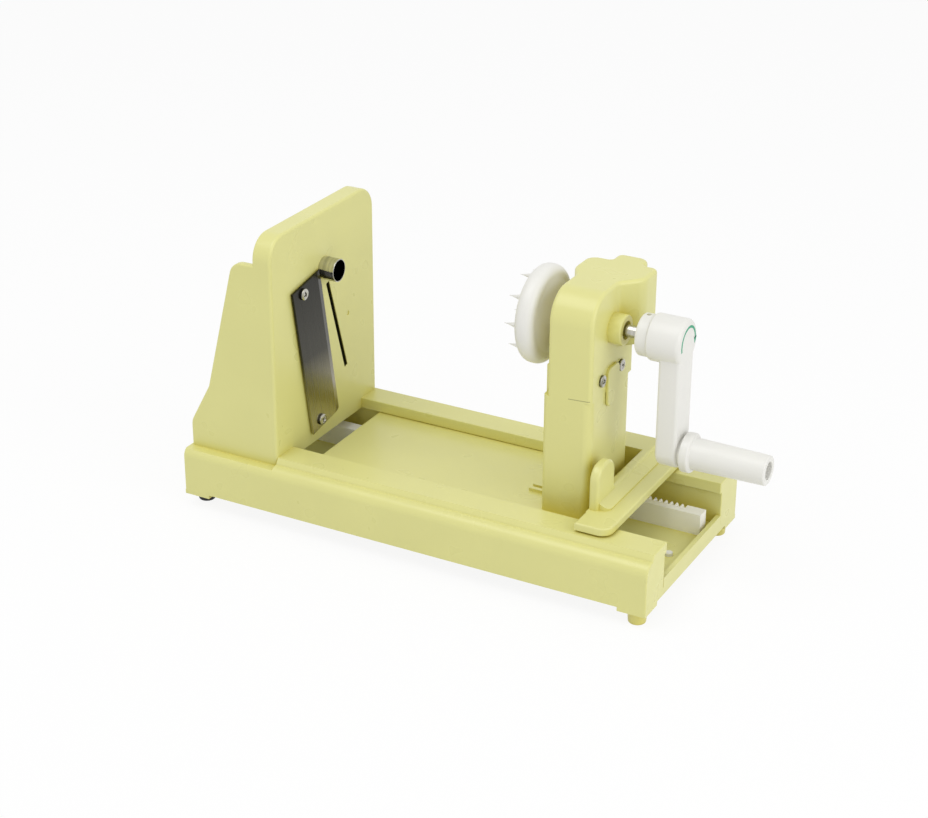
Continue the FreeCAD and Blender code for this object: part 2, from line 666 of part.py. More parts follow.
def slit_outline(border):
    """The narrow slit for comb knives, which runs outwards from the shaft axis, with a border."""
    c, s = cosine(S.SlitTilt), sine(S.SlitTilt)
    near = S.SlitStart - border
    far = S.SlitStart + S.SlitLength + border
    side = S.SlitWidth / 2 + border
    return [(reach * s + across * c, S.AxisHeight - reach * c + across * s)
            for reach, across in ((near, -side), (near, side), (far, side), (far, -side))]


def build_blade():
    """The steel blade plate with its bevelled edge, and the two screws that hold it."""
    body = new_body("blade_plate")
    start = wall_face + S.BladeStandoff
    end = start + S.BladeThickness
    corners = [blade_point(0, 0), blade_point(S.BladeWidth, 0),
               blade_point(S.BladeWidth, S.BladeLength), blade_point(0, S.BladeLength)]
    pad(body, "Plate", "YZ", [corners], start, end)
    doc.recompute()
    y, z = blade_point(S.BladeWidth, S.BladeLength / 2)
    middle = Vector(end.value, y.value, z.value)
    names = [f"Edge{number}" for number, edge in enumerate(body.Tip.Shape.Edges, 1)
             if edge.CenterOfMass.distanceToPoint(middle) < 0.01]
    plate = body.Tip
    bevel = body.newObject("PartDesign::Chamfer", "Bevel")
    bevel.Base = (plate, names)
    bevel.ChamferType = 1
    bind(bevel, "Size", S.BevelDepth)
    bind(bevel, "Size2", S.BevelWidth)
    drill(body, "TubeNotch", "YZ", [(0, S.AxisHeight)], S.BladeNotch, start, end)
    drill(body, "ScrewHoles", "YZ", blade_screw_places(), S.ScrewRadius + S.RunningFit, start, end)
    length = S.FacePlate + S.BladeStandoff + S.BladeThickness + S.TubeBossLength / 2
    screws = [screw(f"blade_screw{number}", "x", S.ScrewRadius, S.ScrewHeadRadius,
                    S.ScrewHeadHeight, end, length, spot, -1, True)
              for number, spot in enumerate(blade_screw_places(), 1)]
    node("blade_screws", group("blade_screws", *screws))


def build_coring_tube():
    """The steel tube that cores the vegetable, and the ring nut that clamps it behind the wall."""
    start = wall_face - S.TubeTail
    reach = S.TubeTail + S.TubeReach
    centre = (0, S.AxisHeight)
    outside = rod("tube_outside", "x", S.TubeRadius, start, reach, centre)
    inside = rod("tube_inside", "x", S.TubeRadius - S.TubeWall, start - S.TubeWall,
                 reach + S.TubeWall * 2, centre)
    node("coring_tube", cut("coring_tube", outside, inside))
    nut_start = wall_face - S.FacePlate - S.TubeBossLength - S.TubeNutLength
    nut = rod("nut_outside", "x", S.TubeBossRadius, nut_start, S.TubeNutLength, centre)
    bore = rod("nut_bore", "x", S.TubeRadius, nut_start, S.TubeNutLength, centre)
    node("coring_tube_nut", cut("coring_tube_nut", nut, bore))


def build_rack():
    """The white rack on the tray's floor: a plain strip in front and teeth along its back half."""
    module = S.ToothModule.value
    pitch = math.pi * module
    slope = math.tan(math.radians(S.PressureAngle.value))
    tip_z = rack_top.value
    line_z = tip_z - module
    root_z = line_z - 1.25 * module
    half_tooth = pitch / 4
    first = rack_start.value
    last = rack_end.value
    teeth_start = (left_end + S.TeethSetback).value
    teeth_end = (rack_end - S.BlockLength / 2).value
    count_left = int((pinion_x.value - teeth_start) / pitch - 1)
    count_right = int((teeth_end - pinion_x.value) / pitch - 1)
    points = [(first, S.FloorTop.value), (first, tip_z)]
    for index in range(-count_left, count_right + 1):
        # Each gap is centred a whole number of pitches from the pinion
        middle = pinion_x.value + index * pitch
        top_half = half_tooth + module * slope
        root_half = half_tooth - 1.25 * module * slope
        points += [(middle - top_half, tip_z), (middle - root_half, root_z),
                   (middle + root_half, root_z), (middle + top_half, tip_z)]
    points += [(last, tip_z), (last, S.FloorTop.value)]
    back = (S.RackSide + S.RackWidth).value
    wire = Part.makePolygon([Vector(x, back, z) for x, z in points + points[:1]])
    toothed = Part.Face(wire).extrude(Vector(0, -S.TeethWidth.value, 0))
    teeth = doc.addObject("Part::Feature", "rack_teeth")
    teeth.Shape = toothed
    strip = box("rack_strip", (rack_start, rack_end), (S.RackSide, S.RackSide + S.RackWidth - S.TeethWidth),
                (S.FloorTop, rack_top))
    bar = fuse("rack_bar", teeth, strip)
    holes = [rod(f"rack_thread{number}", "z", S.SmallScrewRadius, S.FloorTop,
                 S.RackHeight / 2, (x, rack_middle))
             for number, x in enumerate(rack_screw_places(), 1)]
    node("feed_rack", cut("feed_rack", bar, *holes))
    screws = [screw(f"rack_screw{number}", "z", S.SmallScrewRadius, S.SmallHeadRadius,
                    S.SmallHeadHeight, floor_bottom, S.FloorThickness + S.RackHeight / 2,
                    (x, rack_middle))
              for number, x in enumerate(rack_screw_places(), 1)]
    node("rack_screws", group("rack_screws", *screws))


def build_base_trim():
    """The feet, the wall's screws and the white plug in the floor."""
    feet = []
    for number, (x, y) in enumerate(foot_spots, 1):
        pad_part = rod(f"foot_pad{number}", "z", S.FootRadius, 0, S.FootHeight, (x, y))
        peg = rod(f"foot_peg{number}", "z", S.ScrewRadius, S.FootHeight, S.BlockHeight * 2, (x, y))
        feet.append(fuse(f"foot{number}", pad_part, peg))
    node("left_feet", group("left_feet", *feet[:2]))
    node("right_feet", group("right_feet", *feet[2:]))
    screws = [screw(f"wall_screw{number}", "z", S.ScrewRadius, S.ScrewHeadRadius,
                    S.ScrewHeadHeight, S.CoreTop,
                    S.LedgeTop - S.CoreTop + S.WallBossHeight - S.BossRoof, spot)
              for number, spot in enumerate(wall_screw_places(), 1)]
    node("wall_screws", group("wall_screws", *screws))
    spot = (right_end - S.PlugSetback, -S.PlugSide)
    stem = rod("plug_stem", "z", S.PlugRadius - S.CrossWidth, S.FloorTop - S.PlugHeight,
               S.PlugHeight, spot)
    cap = rod("plug_cap", "z", S.PlugRadius, S.FloorTop, S.PlugHeight, spot)
    node("floor_plug", fuse("floor_plug", stem, cap))


def column_screw_places():
    """The places of the four screws that hold the column to the platform."""
    inset = S.ColumnWall + S.WallBossRadius / 2
    return [(x, y) for x in (column_left + inset, column_right - inset)
            for y in (-column_side + inset, column_side - inset * 2)]


def crossmember_screw_places():
    """The places of the two screws that hold the crossmember to the platform."""
    x = (left_end + S.FlangeLeft + platform_end) / 2
    return [(x, -S.EarWidth), (x, S.EarWidth)]


def build_platform():
    """The sliding platform: a plate under the rails' lips, with runners that ride on the floor."""
    body = new_body("platform")
    runner_bottom = S.FloorTop + S.SlideClearance
    side, inner = platform_side, platform_side - S.RunnerWidth
    pad(body, "PlateAndRunners", "YZ",
        [[(-side, runner_bottom), (-inner, runner_bottom), (-inner, platform_bottom),
          (inner, platform_bottom), (inner, runner_bottom), (side, runner_bottom),
          (side, platform_top), (-side, platform_top)]], platform_start, platform_end)
    round_flat_edges(body, "TopRims", S.PlatformRound, "z", [platform_top])
    rib_low = platform_bottom - S.PlatformRib
    half_rib = S.RunnerWidth / 2
    stiffeners = (-S.EarWidth, S.RackSide - S.RunnerWidth * 2)
    pad(body, "Stiffeners", "XY",
        [rectangle((platform_start, platform_end), (y - half_rib, y + half_rib))
         for y in stiffeners], rib_low, platform_bottom)
    # Two low ribs on top, against the column's foot
    half_foot = S.FootRibWidth / 2
    pad(body, "FootRibs", "XY",
        [rectangle((column_left - S.FootRibLength, column_left), (y - half_foot, y + half_foot))
         for y in (-S.FootRibWidth * 3, -S.FootRibWidth)],
        platform_top, platform_top + S.FootRibHeight)
    # A window for the pinion, its axle's head and the lug that carries the axle
    play = S.SlideClearance * 2
    reach = pitch_radius + S.ToothModule + play
    lug = S.AxleLugWidth / 2 + play
    lug_front = column_side - S.ColumnWall * 2 - play
    front = pinion_front - play
    back = pinion_front + S.PinionWidth + S.PinionHeadHeight + play
    pocket(body, "PinionWindow", "XY",
           [[(pinion_x - reach, front), (pinion_x - lug, front), (pinion_x - lug, lug_front),
             (pinion_x + lug, lug_front), (pinion_x + lug, front), (pinion_x + reach, front),
             (pinion_x + reach, back), (pinion_x - reach, back)]], rib_low, platform_top)
    places = column_screw_places() + crossmember_screw_places()
    drill(body, "ScrewHoles", "XY", places, S.ScrewRadius + S.RunningFit, rib_low, platform_top)
    drill(body, "HeadSeats", "XY", places, S.ScrewHeadRadius + S.SlideClearance,
          rib_low - 1, platform_bottom)


def build_column():
    """The hollow column under the headstock, with a spigot that the head fits over."""
    body = new_body("column")
    x, y = (column_left, column_right), (-column_side, column_side)
    pad(body, "Foot", "XY", [rectangle(x, y)], platform_top, seam_height)
    round_edges(body, "Corners", S.ColumnRadius, "z", [(column_right, side) for side in y])
    round_edges(body, "LeftCorners", S.ColumnLeftRadius, "z", [(column_left, side) for side in y])
    gap = S.ColumnWall + S.SlideClearance
    spigot_top = seam_height + S.SpigotHeight
    pad(body, "Spigot", "XY",
        [rectangle((head_left + gap, head_right - gap), (-column_side + gap, column_side - gap))],
        seam_height, spigot_top)
    cheek = column_side - S.ColumnRadius
    pad(body, "Cheek", "XY", [rectangle((column_left, head_left - S.SlideClearance), (-cheek, cheek))],
        seam_height, cheek_top)
    wall, inset = S.ColumnWall, gap + S.ColumnWall
    pocket(body, "Hollow", "XY",
           [rectangle((column_left + wall, column_right - wall), (-column_side + wall, column_side - wall))],
           platform_top, seam_height - wall)
    pocket(body, "SpigotHollow", "XY",
           [rectangle((head_left + inset, head_right - inset), (-column_side + inset, column_side - inset))],
           seam_height - wall, spigot_top)
    boss_top = platform_top + S.WallBossHeight
    stud(body, "Bosses", "XY", column_screw_places(), S.WallBossRadius, platform_top, boss_top)
    drill(body, "Threads", "XY", column_screw_places(), S.ScrewRadius, platform_top, boss_top)
    lug = S.AxleLugWidth / 2
    lug_front = column_side - S.ColumnWall * 2
    pad(body, "AxleLug", "XY", [rectangle((pinion_x - lug, pinion_x + lug), (lug_front, column_side))],
        platform_top - S.AxleLugDrop, boss_top)
    spigot_face = head_right - gap
    drill(body, "SideThreads", "YZ", head_screw_places(), S.ScrewRadius,
          spigot_face - S.ColumnWall * 2, spigot_face)
    drill(body, "AxleThread", "XZ", [(pinion_x, pinion_z)], S.PinionAxleRadius,
          lug_front, column_side)


def head_screw_places():
    """The places, in Y and Z, of the two screws that hold the head on the spigot."""
    return [(-S.HeadScrewFront, head_screw_height), (S.HeadScrewBack, head_screw_height)]


def build_head():
    """The head shell: a rounded front, wings and a lobe behind, a shaft tunnel and a boss."""
    body = new_body("head")
    wing_left, wing_right = head_left - S.WingLeft, head_right + S.WingRight
    lobe_left = head_left + S.LobeLeft
    lobe_right = lobe_left + S.LobeDepth
    wall = S.HeadWall
    pad(body, "Shell", "XY",
        [rectangle((head_left, head_right), (-column_side, column_side))], seam_height, head_top)
    round_edges(body, "Forehead", S.HeadFrontRadius, "x", [(-column_side, head_top)])
    pad(body, "Wings", "XY",
        [[(head_left, S.WingStart), (head_right, S.WingStart), (wing_right, S.WingFull),
          (wing_right, S.WingBack), (lobe_right, S.WingBack), (lobe_right, S.LobeBack),
          (lobe_left, S.LobeBack), (lobe_left, S.WingBack), (wing_left, S.WingBack),
          (wing_left, S.WingFull)]], wing_bottom, head_top)
    for title, radius, corners in (
            ("WingFronts", S.WingFrontRadius, [(wing_left, S.WingFull), (wing_right, S.WingFull)]),
            ("WingCorner", S.WingLeftRadius, [(wing_left, S.WingBack)]),
            ("LobeCorner", S.LobeRadius, [(lobe_right, S.LobeBack)]),
            ("BackCorners", S.HeadCornerRadius, [(wing_right, S.WingBack), (lobe_left, S.LobeBack)]),
            ("WingBlends", S.WingBlend, [(head_left, S.WingStart), (head_right, S.WingStart)]),
            ("LobeBlends", S.LobeBlend, [(lobe_left, S.WingBack), (lobe_right, S.WingBack)])):
        round_edges(body, title, radius, "z", corners)
    round_edges(body, "OutlineRim", S.HeadRound, "z",
                [(head_left, -column_side), (head_right, -column_side)])
    axis = [(0, S.AxisHeight)]
    stud(body, "Boss", "YZ", axis, S.BossRadius, head_right - wall, boss_end)
    tongue = (-S.TongueFront, S.TongueBack)
    tongue_face = head_right + S.TongueThickness
    tongue_heights = (tongue_bottom, S.AxisHeight - S.TongueTop)
    pad(body, "Tongue", "YZ", [rectangle(tongue, tongue_heights)], head_right - wall, tongue_face)
    round_edges(body, "TongueEnds", S.TongueRadius, "x", [(y, z) for y in tongue for z in tongue_heights])
    round_flat_edges(body, "TongueRim", S.TongueRound, "x", [tongue_face])
    pocket(body, "TongueGap", "XY",
           [rectangle((head_right - wall * 2, head_right + S.SlideClearance), (-S.BossRadius, S.BossRadius))],
           tongue_bottom - wall, seam_height)
    round_rims(body, "BossRim", S.BossRound, [(boss_end, S.BossRadius)])
    pocket(body, "Hollow", "XY",
           [rectangle((head_left + wall, head_right - wall),
                      (-column_side + wall, column_side - wall))],
           seam_height, head_top - S.HeadFrontRadius)
    pocket(body, "WingHollow", "XY",
           [[(head_left + wall, S.WingStart + wall), (head_right - wall, S.WingStart + wall),
             (wing_right - wall, S.WingFull + wall / 2), (wing_right - wall, S.WingBack - wall),
             (lobe_right - wall, S.WingBack - wall), (lobe_right - wall, S.LobeBack - wall * 2),
             (lobe_right - wall * 2, S.LobeBack - wall), (lobe_left + wall, S.LobeBack - wall),
             (lobe_left + wall, S.WingBack - wall), (wing_left + wall * 2, S.WingBack - wall),
             (wing_left + wall, S.WingBack - wall * 2), (wing_left + wall, S.WingFull + wall / 2)]],
           wing_bottom + wall, head_top - wall)
    stud(body, "Tunnel", "YZ", axis, S.TunnelRadius, head_left + wall / 2, head_right - wall / 2)
    drill(body, "ShaftBore", "YZ", axis, S.BushRadius, head_left, boss_end)
    drill(body, "BushSeat", "YZ", axis, S.BushFlange + S.SlideClearance, wing_left, head_left)
    drill(body, "SideHoles", "YZ", head_screw_places(), S.ScrewRadius + S.RunningFit,
          head_right - wall, head_right)


def build_carriage_screws():
    """The screws that hold the head, the column and the crossmember."""
    gap = S.ColumnWall + S.SlideClearance
    length = gap + S.ColumnWall * 2
    screws = [screw(f"head_screw{number}", "x", S.ScrewRadius, S.ScrewHeadRadius,
                    S.ScrewHeadHeight, head_right, length, spot, -1, True)
              for number, spot in enumerate(head_screw_places(), 1)]
    node("head_screws", group("head_screws", *screws))
    reach = S.PlatformThickness + S.WallBossHeight
    for title, places in (("column_screws", column_screw_places()),
                          ("crossmember_screws", crossmember_screw_places())):
        screws = [screw(f"{title}_{number}", "z", S.ScrewRadius, S.ScrewHeadRadius,
                        S.ScrewHeadHeight, platform_bottom, reach, spot)
                  for number, spot in enumerate(places, 1)]
        node(title, group(title, *screws))


def build_crossmember():
    """The push piece across both rails: a flange, a sloping ridge, a rear wall and a thumb ear."""
    body = new_body("crossmember")
    left = left_end + S.FlangeLeft
    right = left_end + S.FlangeRight
    ridge = left + S.EarThickness
    wall = S.RearWallThickness
    slope_right = left_end + S.SlopeRight
    flange_top = S.FlangeBottom + S.FlangeThickness
    pad(body, "Flange", "XY", [rectangle((left, right), (-S.FlangeSide, S.FlangeSide))],
        S.FlangeBottom, flange_top)
    round_edges(body, "FlangeCorners", S.FlangeCornerRadius, "z",
                [(right, S.FlangeSide), (right, -S.FlangeSide)])
    round_flat_edges(body, "FlangeRims", S.FlangeRound, "z", [flange_top])
    leg_side = lip_side - S.SlideClearance
    pad(body, "WebLeg", "XY", [rectangle((left, platform_end), (-leg_side, leg_side))],
        platform_top, flange_top)
    ear_back = -S.EarFront + S.EarWidth
    pad(body, "EarAndRidge", "YZ",
        [[(-S.EarFront, flange_top), (S.FlangeSide, flange_top), (S.FlangeSide, S.WebTop),
          (ear_back, S.WebTop), (ear_back, S.EarTop), (-S.EarFront, S.EarTop)]], left, ridge)
    round_edges(body, "EarTop", S.EarRadius, "x",
                [(ear_back, S.EarTop), (-S.EarFront, S.EarTop)])
    round_edges(body, "EarRoot", S.EarBlend, "x", [(ear_back, S.WebTop)])
    round_flat_edges(body, "EarRims", S.EarRound, "x", [left, ridge],
                     y=(None, S.FlangeSide), z=(flange_top, None))
    slope_top = S.WebTop - S.EarRound
    slope_front = -S.EarFront + S.EarRound
    slope_foot = flange_top + S.SlopeStep
    pad(body, "Slope", "XY",
        [rectangle((left + S.EarRound, slope_right), (slope_front, S.FlangeSide))], flange_top, slope_top)
    round_edges(body, "SlopeCorner", S.SlopeRound, "z", [(slope_right, slope_front)])
    pocket(body, "SlopeFace", "XZ",
           [[(ridge, slope_top), (slope_right, slope_foot), (right, slope_foot), (right, slope_top + wall),
             (ridge, slope_top + wall)]], slope_front, S.FlangeSide)
    rear_left = left_end + S.RearWallLeft
    pad(body, "RearBlock", "XY",
        [rectangle((rear_left, left + S.EarRound), (S.RearWallFront, S.FlangeSide))],
        S.FlangeBottom, S.WebTop)
    pad(body, "RearLeg", "XY", [rectangle((rear_left, left), (S.RearWallFront, leg_side))],
        platform_top, S.FlangeBottom)
    pocket(body, "RearCore", "XY",
           [rectangle((rear_left + wall, left - wall), (leg_side + wall, S.FlangeSide - wall))],
           S.FlangeBottom, S.WebTop - wall)
    drill(body, "Threads", "XY", crossmember_screw_places(), S.ScrewRadius,
          platform_top, platform_top + S.WallBossHeight)


def build_pinion():
    """The pinion that rolls on the rack, with involute teeth, and the shouldered axle it turns on."""
    module = S.ToothModule.value
    teeth = int(S.PinionTeeth.value)
    pitch_r = pitch_radius.value
    angle = math.radians(S.PressureAngle.value)
    base_r = pitch_r * math.cos(angle)
    tip_r = pitch_r + module
    root_r = pitch_r - 1.25 * module
    # Half of a tooth's angle at the pitch circle, less the play between the flanks
    half = math.pi / 2 / teeth - S.ToothPlay.value / 2 / pitch_r
    at_pitch = math.tan(angle) - angle
    steps = 7
    flank = []
    for step in range(steps + 1):
        radius = max(base_r, root_r) + (tip_r - max(base_r, root_r)) * step / steps
        bend = math.sqrt(max(0.0, (radius / base_r) ** 2 - 1))
        roll = bend - math.atan(bend)
        flank.append((radius, half + at_pitch - roll))
    outline = []
    for tooth in range(teeth):
        # The first tooth points straight down into a gap of the rack
        middle = -math.pi / 2 + 2 * math.pi * tooth / teeth
        side = [(root_r, flank[0][1])] + flank
        outline += [(r, middle - a) for r, a in side]
        outline += [(r, middle + a) for r, a in reversed(side)]
    corners = [Vector(pinion_x.value + r * math.cos(a), pinion_front.value,
                      pinion_z.value + r * math.sin(a)) for r, a in outline]
    face = Part.Face(Part.makePolygon(corners + corners[:1]))
    gear = doc.addObject("Part::Feature", "pinion_teeth")
    gear.Shape = face.extrude(Vector(0, S.PinionWidth.value, 0))
    bore = rod("pinion_bore", "y", S.PinionAxleRadius + S.RunningFit, pinion_front, S.PinionWidth,
               (pinion_x, pinion_z))
    node("feed_pinion", cut("feed_pinion", gear, bore))
    start = column_side - S.ColumnWall * 2
    end = pinion_front + S.PinionWidth + S.SlideClearance
    stem = rod("axle_stem", "y", S.PinionAxleRadius, start, end - start, (pinion_x, pinion_z))
    head = rod("axle_head", "y", S.PinionHeadRadius, end, S.PinionHeadHeight, (pinion_x, pinion_z))
    node("pinion_axle", fuse("pinion_axle", stem, head))


def build_shaft():
    """The steel shaft, its two bushes, and the washer between wheel and head."""
    centre = (0, S.AxisHeight)
    wheel_face = left_end + S.WheelFace
    start = wheel_face + S.WheelFront
    end = left_end + S.HubEnd - S.ShaftEndGap
    shaft = rod("shaft_bar", "x", S.ShaftRadius, start, end - start, centre)
    pins = [rod(f"shaft_pin_hole{number}", "z", S.PinRadius, S.AxisHeight - S.CollarRadius,
                S.CollarRadius * 2, (x, 0)) for number, x in enumerate(pin_places(), 1)]
    node("drive_shaft", cut("drive_shaft", shaft, *pins))
    rim = rod("bush_rim", "x", S.BushFlange, head_left - S.BushFlangeThickness,
              S.BushFlangeThickness, centre)
    for title, first, extra in (
            ("wheel_side_bush", head_left, [rim]),
            ("crank_side_bush", boss_end - S.BossRecess - S.BushLength, [])):
        sleeve = rod(title + "_sleeve", "x", S.BushRadius, first, S.BushLength, centre)
        whole = fuse(title + "_whole", sleeve, *extra) if extra else sleeve
        bore = rod(title + "_bore", "x", S.ShaftRadius + S.RunningFit,
                   first - S.BushFlangeThickness, S.BushLength + S.BushFlangeThickness * 2, centre)
        node(title, cut(title, whole, bore))
    hub_end = wheel_face + S.WheelThickness + S.WheelHubLength
    disc = rod("washer_disc", "x", S.WasherRadius, hub_end, S.WasherThickness, centre)
    hole = rod("washer_hole", "x", S.ShaftRadius, hub_end, S.WasherThickness, centre)
    node("wheel_washer", cut("wheel_washer", disc, hole))


def pin_places():
    """The X places of the cross pins through the wheel's hub and the crank's collar."""
    hub_start = left_end + S.WheelFace + S.WheelThickness + S.FlareLength
    wheel_pin = hub_start + (S.WheelHubLength - S.FlareLength) / 2
    crank_pin = left_end + S.CollarStart + S.CollarLength / 2
    return [wheel_pin, crank_pin]


def spike_ring(title, count, circle, start_angle):
    """Spikes in a ring on the wheel's face, pointing at the blade."""
    face = left_end + S.WheelFace
    spikes = []
    for index in range(int(count.value)):
        angle = math.radians(start_angle.value + 360 * index / count.value)
        centre = (circle * math.cos(angle), S.AxisHeight + circle * math.sin(angle))
        spikes.append(cone(f"{title}{index + 1}", "x", S.SpikeTip, S.SpikeRadius,
                           face - S.SpikeLength, S.SpikeLength + S.SpikeRoot, centre))
    return spikes


def build_wheel():
    """The spiked wheel: a rounded disc with two rings of spikes, a hub and its cross pin."""
    face = left_end + S.WheelFace
    back = face + S.WheelThickness
    flare_end = back + S.FlareLength
    hub_end = back + S.WheelHubLength
    body = turned_body("wheel_disc", S.AxisHeight,
                       [(face, 0), (face, S.WheelRadius), (back, S.WheelRadius),
                        (back, S.FlareRadius), (flare_end, S.FlareEnd),
                        (flare_end, S.WheelHubRadius), (hub_end, S.WheelHubRadius), (hub_end, 0)])
    round_rims(body, "WheelRounds", S.WheelRound, [(face, S.WheelRadius), (back, S.WheelRadius)])
    spikes = spike_ring("rim_spike", S.SpikeCount, S.SpikeCircle, S.SpikeStart)
    spikes += spike_ring("inner_spike", S.InnerSpikeCount, S.InnerSpikeCircle, S.InnerSpikeStart)
    whole = fuse("wheel_whole", body, *spikes)
    start = face + S.WheelFront
    bore = rod("wheel_bore", "x", S.ShaftRadius, start, hub_end - start, (0, S.AxisHeight))
    hole = rod("wheel_pin_hole", "z", S.PinRadius, S.AxisHeight - S.WheelHubRadius,
               S.WheelHubRadius * 2, (pin_places()[0], 0))
    node("spiked_wheel", cut("spiked_wheel", whole, bore, hole))
    pin = rod("wheel_pin", "z", S.PinRadius, S.AxisHeight - S.WheelHubRadius,
              S.WheelHubRadius * 2, (pin_places()[0], 0))
    node("wheel_pin", pin)


def build_crank():
    """The white crank: a collar and a hub on the shaft, and a straight arm down to the handle."""
    body = new_body("crank_arm")
    handle_z = S.AxisHeight - S.CrankThrow
    arm_start, arm_end = left_end + S.ArmStart, left_end + S.ArmEnd
    half = S.ArmWidth / 2
    pad(body, "Arm", "YZ", [rectangle((-half, half), (handle_z - half, S.AxisHeight))],
        arm_start, arm_end)
    round_edges(body, "ArmEnd", S.ArmEndRadius, "x",
                [(half, handle_z - half), (-half, handle_z - half)])
    round_flat_edges(body, "ArmRims", S.ArmEdgeRadius, "x", [arm_start, arm_end])
    collar_start = left_end + S.CollarStart
    collar_end = collar_start + S.CollarLength
    axis = [(0, S.AxisHeight)]
    stud(body, "Hub", "YZ", axis, S.HubRadius, collar_end, left_end + S.HubEnd)
    round_rims(body, "HubRims", S.HubRound, [(left_end + S.HubEnd, S.HubRadius)])
    stud(body, "Collar", "YZ", axis, S.CollarRadius, collar_start, collar_end)
    round_rims(body, "CollarRim", S.CollarRound, [(collar_start, S.CollarRadius)])
    drill(body, "ShaftBore", "YZ", axis, S.ShaftRadius,
          collar_start, left_end + S.HubEnd - S.ShaftEndGap)
    drill(body, "PinHole", "XY", [(pin_places()[1], 0)], S.PinRadius,
          S.AxisHeight - S.CollarRadius, S.AxisHeight + S.CollarRadius)
    drill(body, "HandleThread", "YZ", [(0, handle_z)], S.HandlePinRadius,
          arm_end - S.HandlePinDepth, arm_end)
    pin = rod("crank_pin", "z", S.PinRadius, S.AxisHeight - S.CollarRadius, S.CollarRadius * 2,
              (pin_places()[1], 0))
    node("crank_pin", pin)


def build_handle():
    """The turning grip, and the pin, spacer, washer and screw that hold it on the arm."""
    handle_z = S.AxisHeight - S.CrankThrow
    centre = (0, handle_z)
    arm_end = left_end + S.ArmEnd
    ring_start = arm_end + S.HandleGap + S.EndPlay
    barrel_start = ring_start + S.RingThickness
    grip_end = barrel_start + S.GripLength
    seat = grip_end - S.GripHollow
    bore = S.HandlePinRadius + S.RunningFit
    hollow = S.GripRadius - S.GripEndWall
    round_part = S.GripEndWall / 2
    body = turned_body("handle_grip", handle_z,
                       [(ring_start, bore), (ring_start, S.RingRadius),
                        (barrel_start, S.RingRadius), (barrel_start, S.GripRootRadius),
                        (grip_end, S.GripRadius), (grip_end, hollow), (seat, hollow),
                        (seat, bore)])
    node("handle_grip", body)
    round_rims(body, "GripRounds", round_part / 2, [(ring_start, S.RingRadius),
                                                    (barrel_start, S.RingRadius),
                                                    (grip_end, S.GripRadius)])
    pin_start = arm_end - S.HandlePinDepth
    washer_start = seat + S.EndPlay
    pin_bar = rod("handle_pin_bar", "x", S.HandlePinRadius, pin_start, washer_start - pin_start,
                  centre)
    thread = rod("handle_pin_thread", "x", S.ScrewRadius, washer_start - S.HandlePinDepth,
                 S.HandlePinDepth, centre)
    node("handle_pin", cut("handle_pin", pin_bar, thread))
    disc = rod("spacer_disc", "x", S.SpacerRadius, arm_end, S.HandleGap, centre)
    hole = rod("spacer_hole", "x", S.HandlePinRadius, arm_end, S.HandleGap, centre)
    node("handle_spacer", cut("handle_spacer", disc, hole))
    plate = rod("handle_washer_disc", "x", S.HandleWasherRadius, washer_start,
                S.HandleWasherThickness, centre)
    opening = rod("handle_washer_hole", "x", S.ScrewRadius, washer_start,
                  S.HandleWasherThickness, centre)
    node("handle_washer", cut("handle_washer", plate, opening))
    fixing = screw("handle_screw", "x", S.ScrewRadius, S.HandleScrewHead, S.HandleScrewHeight,
                   washer_start + S.HandleWasherThickness,
                   S.HandleWasherThickness + S.HandlePinDepth, centre, -1, True)
    node("handle_screw", fixing)


def check_all():
    """Stops if any object failed or any sub-part is empty or invalid."""
    for thing in doc.Objects:
        if "Invalid" in thing.State or "Error" in thing.State:
            raise RuntimeError(f"{thing.Name}: {thing.State}")
    for name, thing in nodes.items():
        if thing.Shape.isNull() or not thing.Shape.isValid():
            raise RuntimeError(f"{name} has no valid shape")


build_base_tray()
build_blade_wall()
build_blade()
build_coring_tube()
build_rack()
build_base_trim()
build_platform()
build_column()
build_head()
build_crossmember()
build_carriage_screws()
build_pinion()
build_shaft()
build_wheel()
build_crank()
build_handle()
doc.recompute()
check_all()

os.makedirs("parts", exist_ok=True)
for name, thing in nodes.items():
    thing.Shape.exportStep(f"parts/{name}.step")
    bounds = thing.Shape.BoundBox
    print(f"{name}: {len(thing.Shape.Solids)} solids, {thing.Shape.Volume / 1000:.2f} cm3, "
          f"X {bounds.XMin:.1f} {bounds.XMax:.1f}, Y {bounds.YMin:.1f} {bounds.YMax:.1f}, "
          f"Z {bounds.ZMin:.1f} {bounds.ZMax:.1f}")
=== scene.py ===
import bmesh
import bpy
import math
import numpy as np
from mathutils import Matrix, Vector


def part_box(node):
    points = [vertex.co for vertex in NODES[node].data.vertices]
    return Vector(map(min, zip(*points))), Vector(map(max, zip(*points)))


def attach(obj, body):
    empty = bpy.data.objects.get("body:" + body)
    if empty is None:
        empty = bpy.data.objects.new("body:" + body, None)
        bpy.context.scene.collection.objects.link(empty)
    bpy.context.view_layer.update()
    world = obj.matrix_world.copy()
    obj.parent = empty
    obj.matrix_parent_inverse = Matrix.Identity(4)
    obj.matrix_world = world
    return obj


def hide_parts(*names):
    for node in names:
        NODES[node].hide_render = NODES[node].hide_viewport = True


bl_info = {
    "name": "Spiralizer with crank",
    "version": (1, 0, 0),
    "blender": (4, 5, 0),
    "location": "View3D > Sidebar > Spiralizer",
    "description": "Turned, moulded and steel pieces of a hand cranked slicer, with their finishes",
    "category": "Object",
}

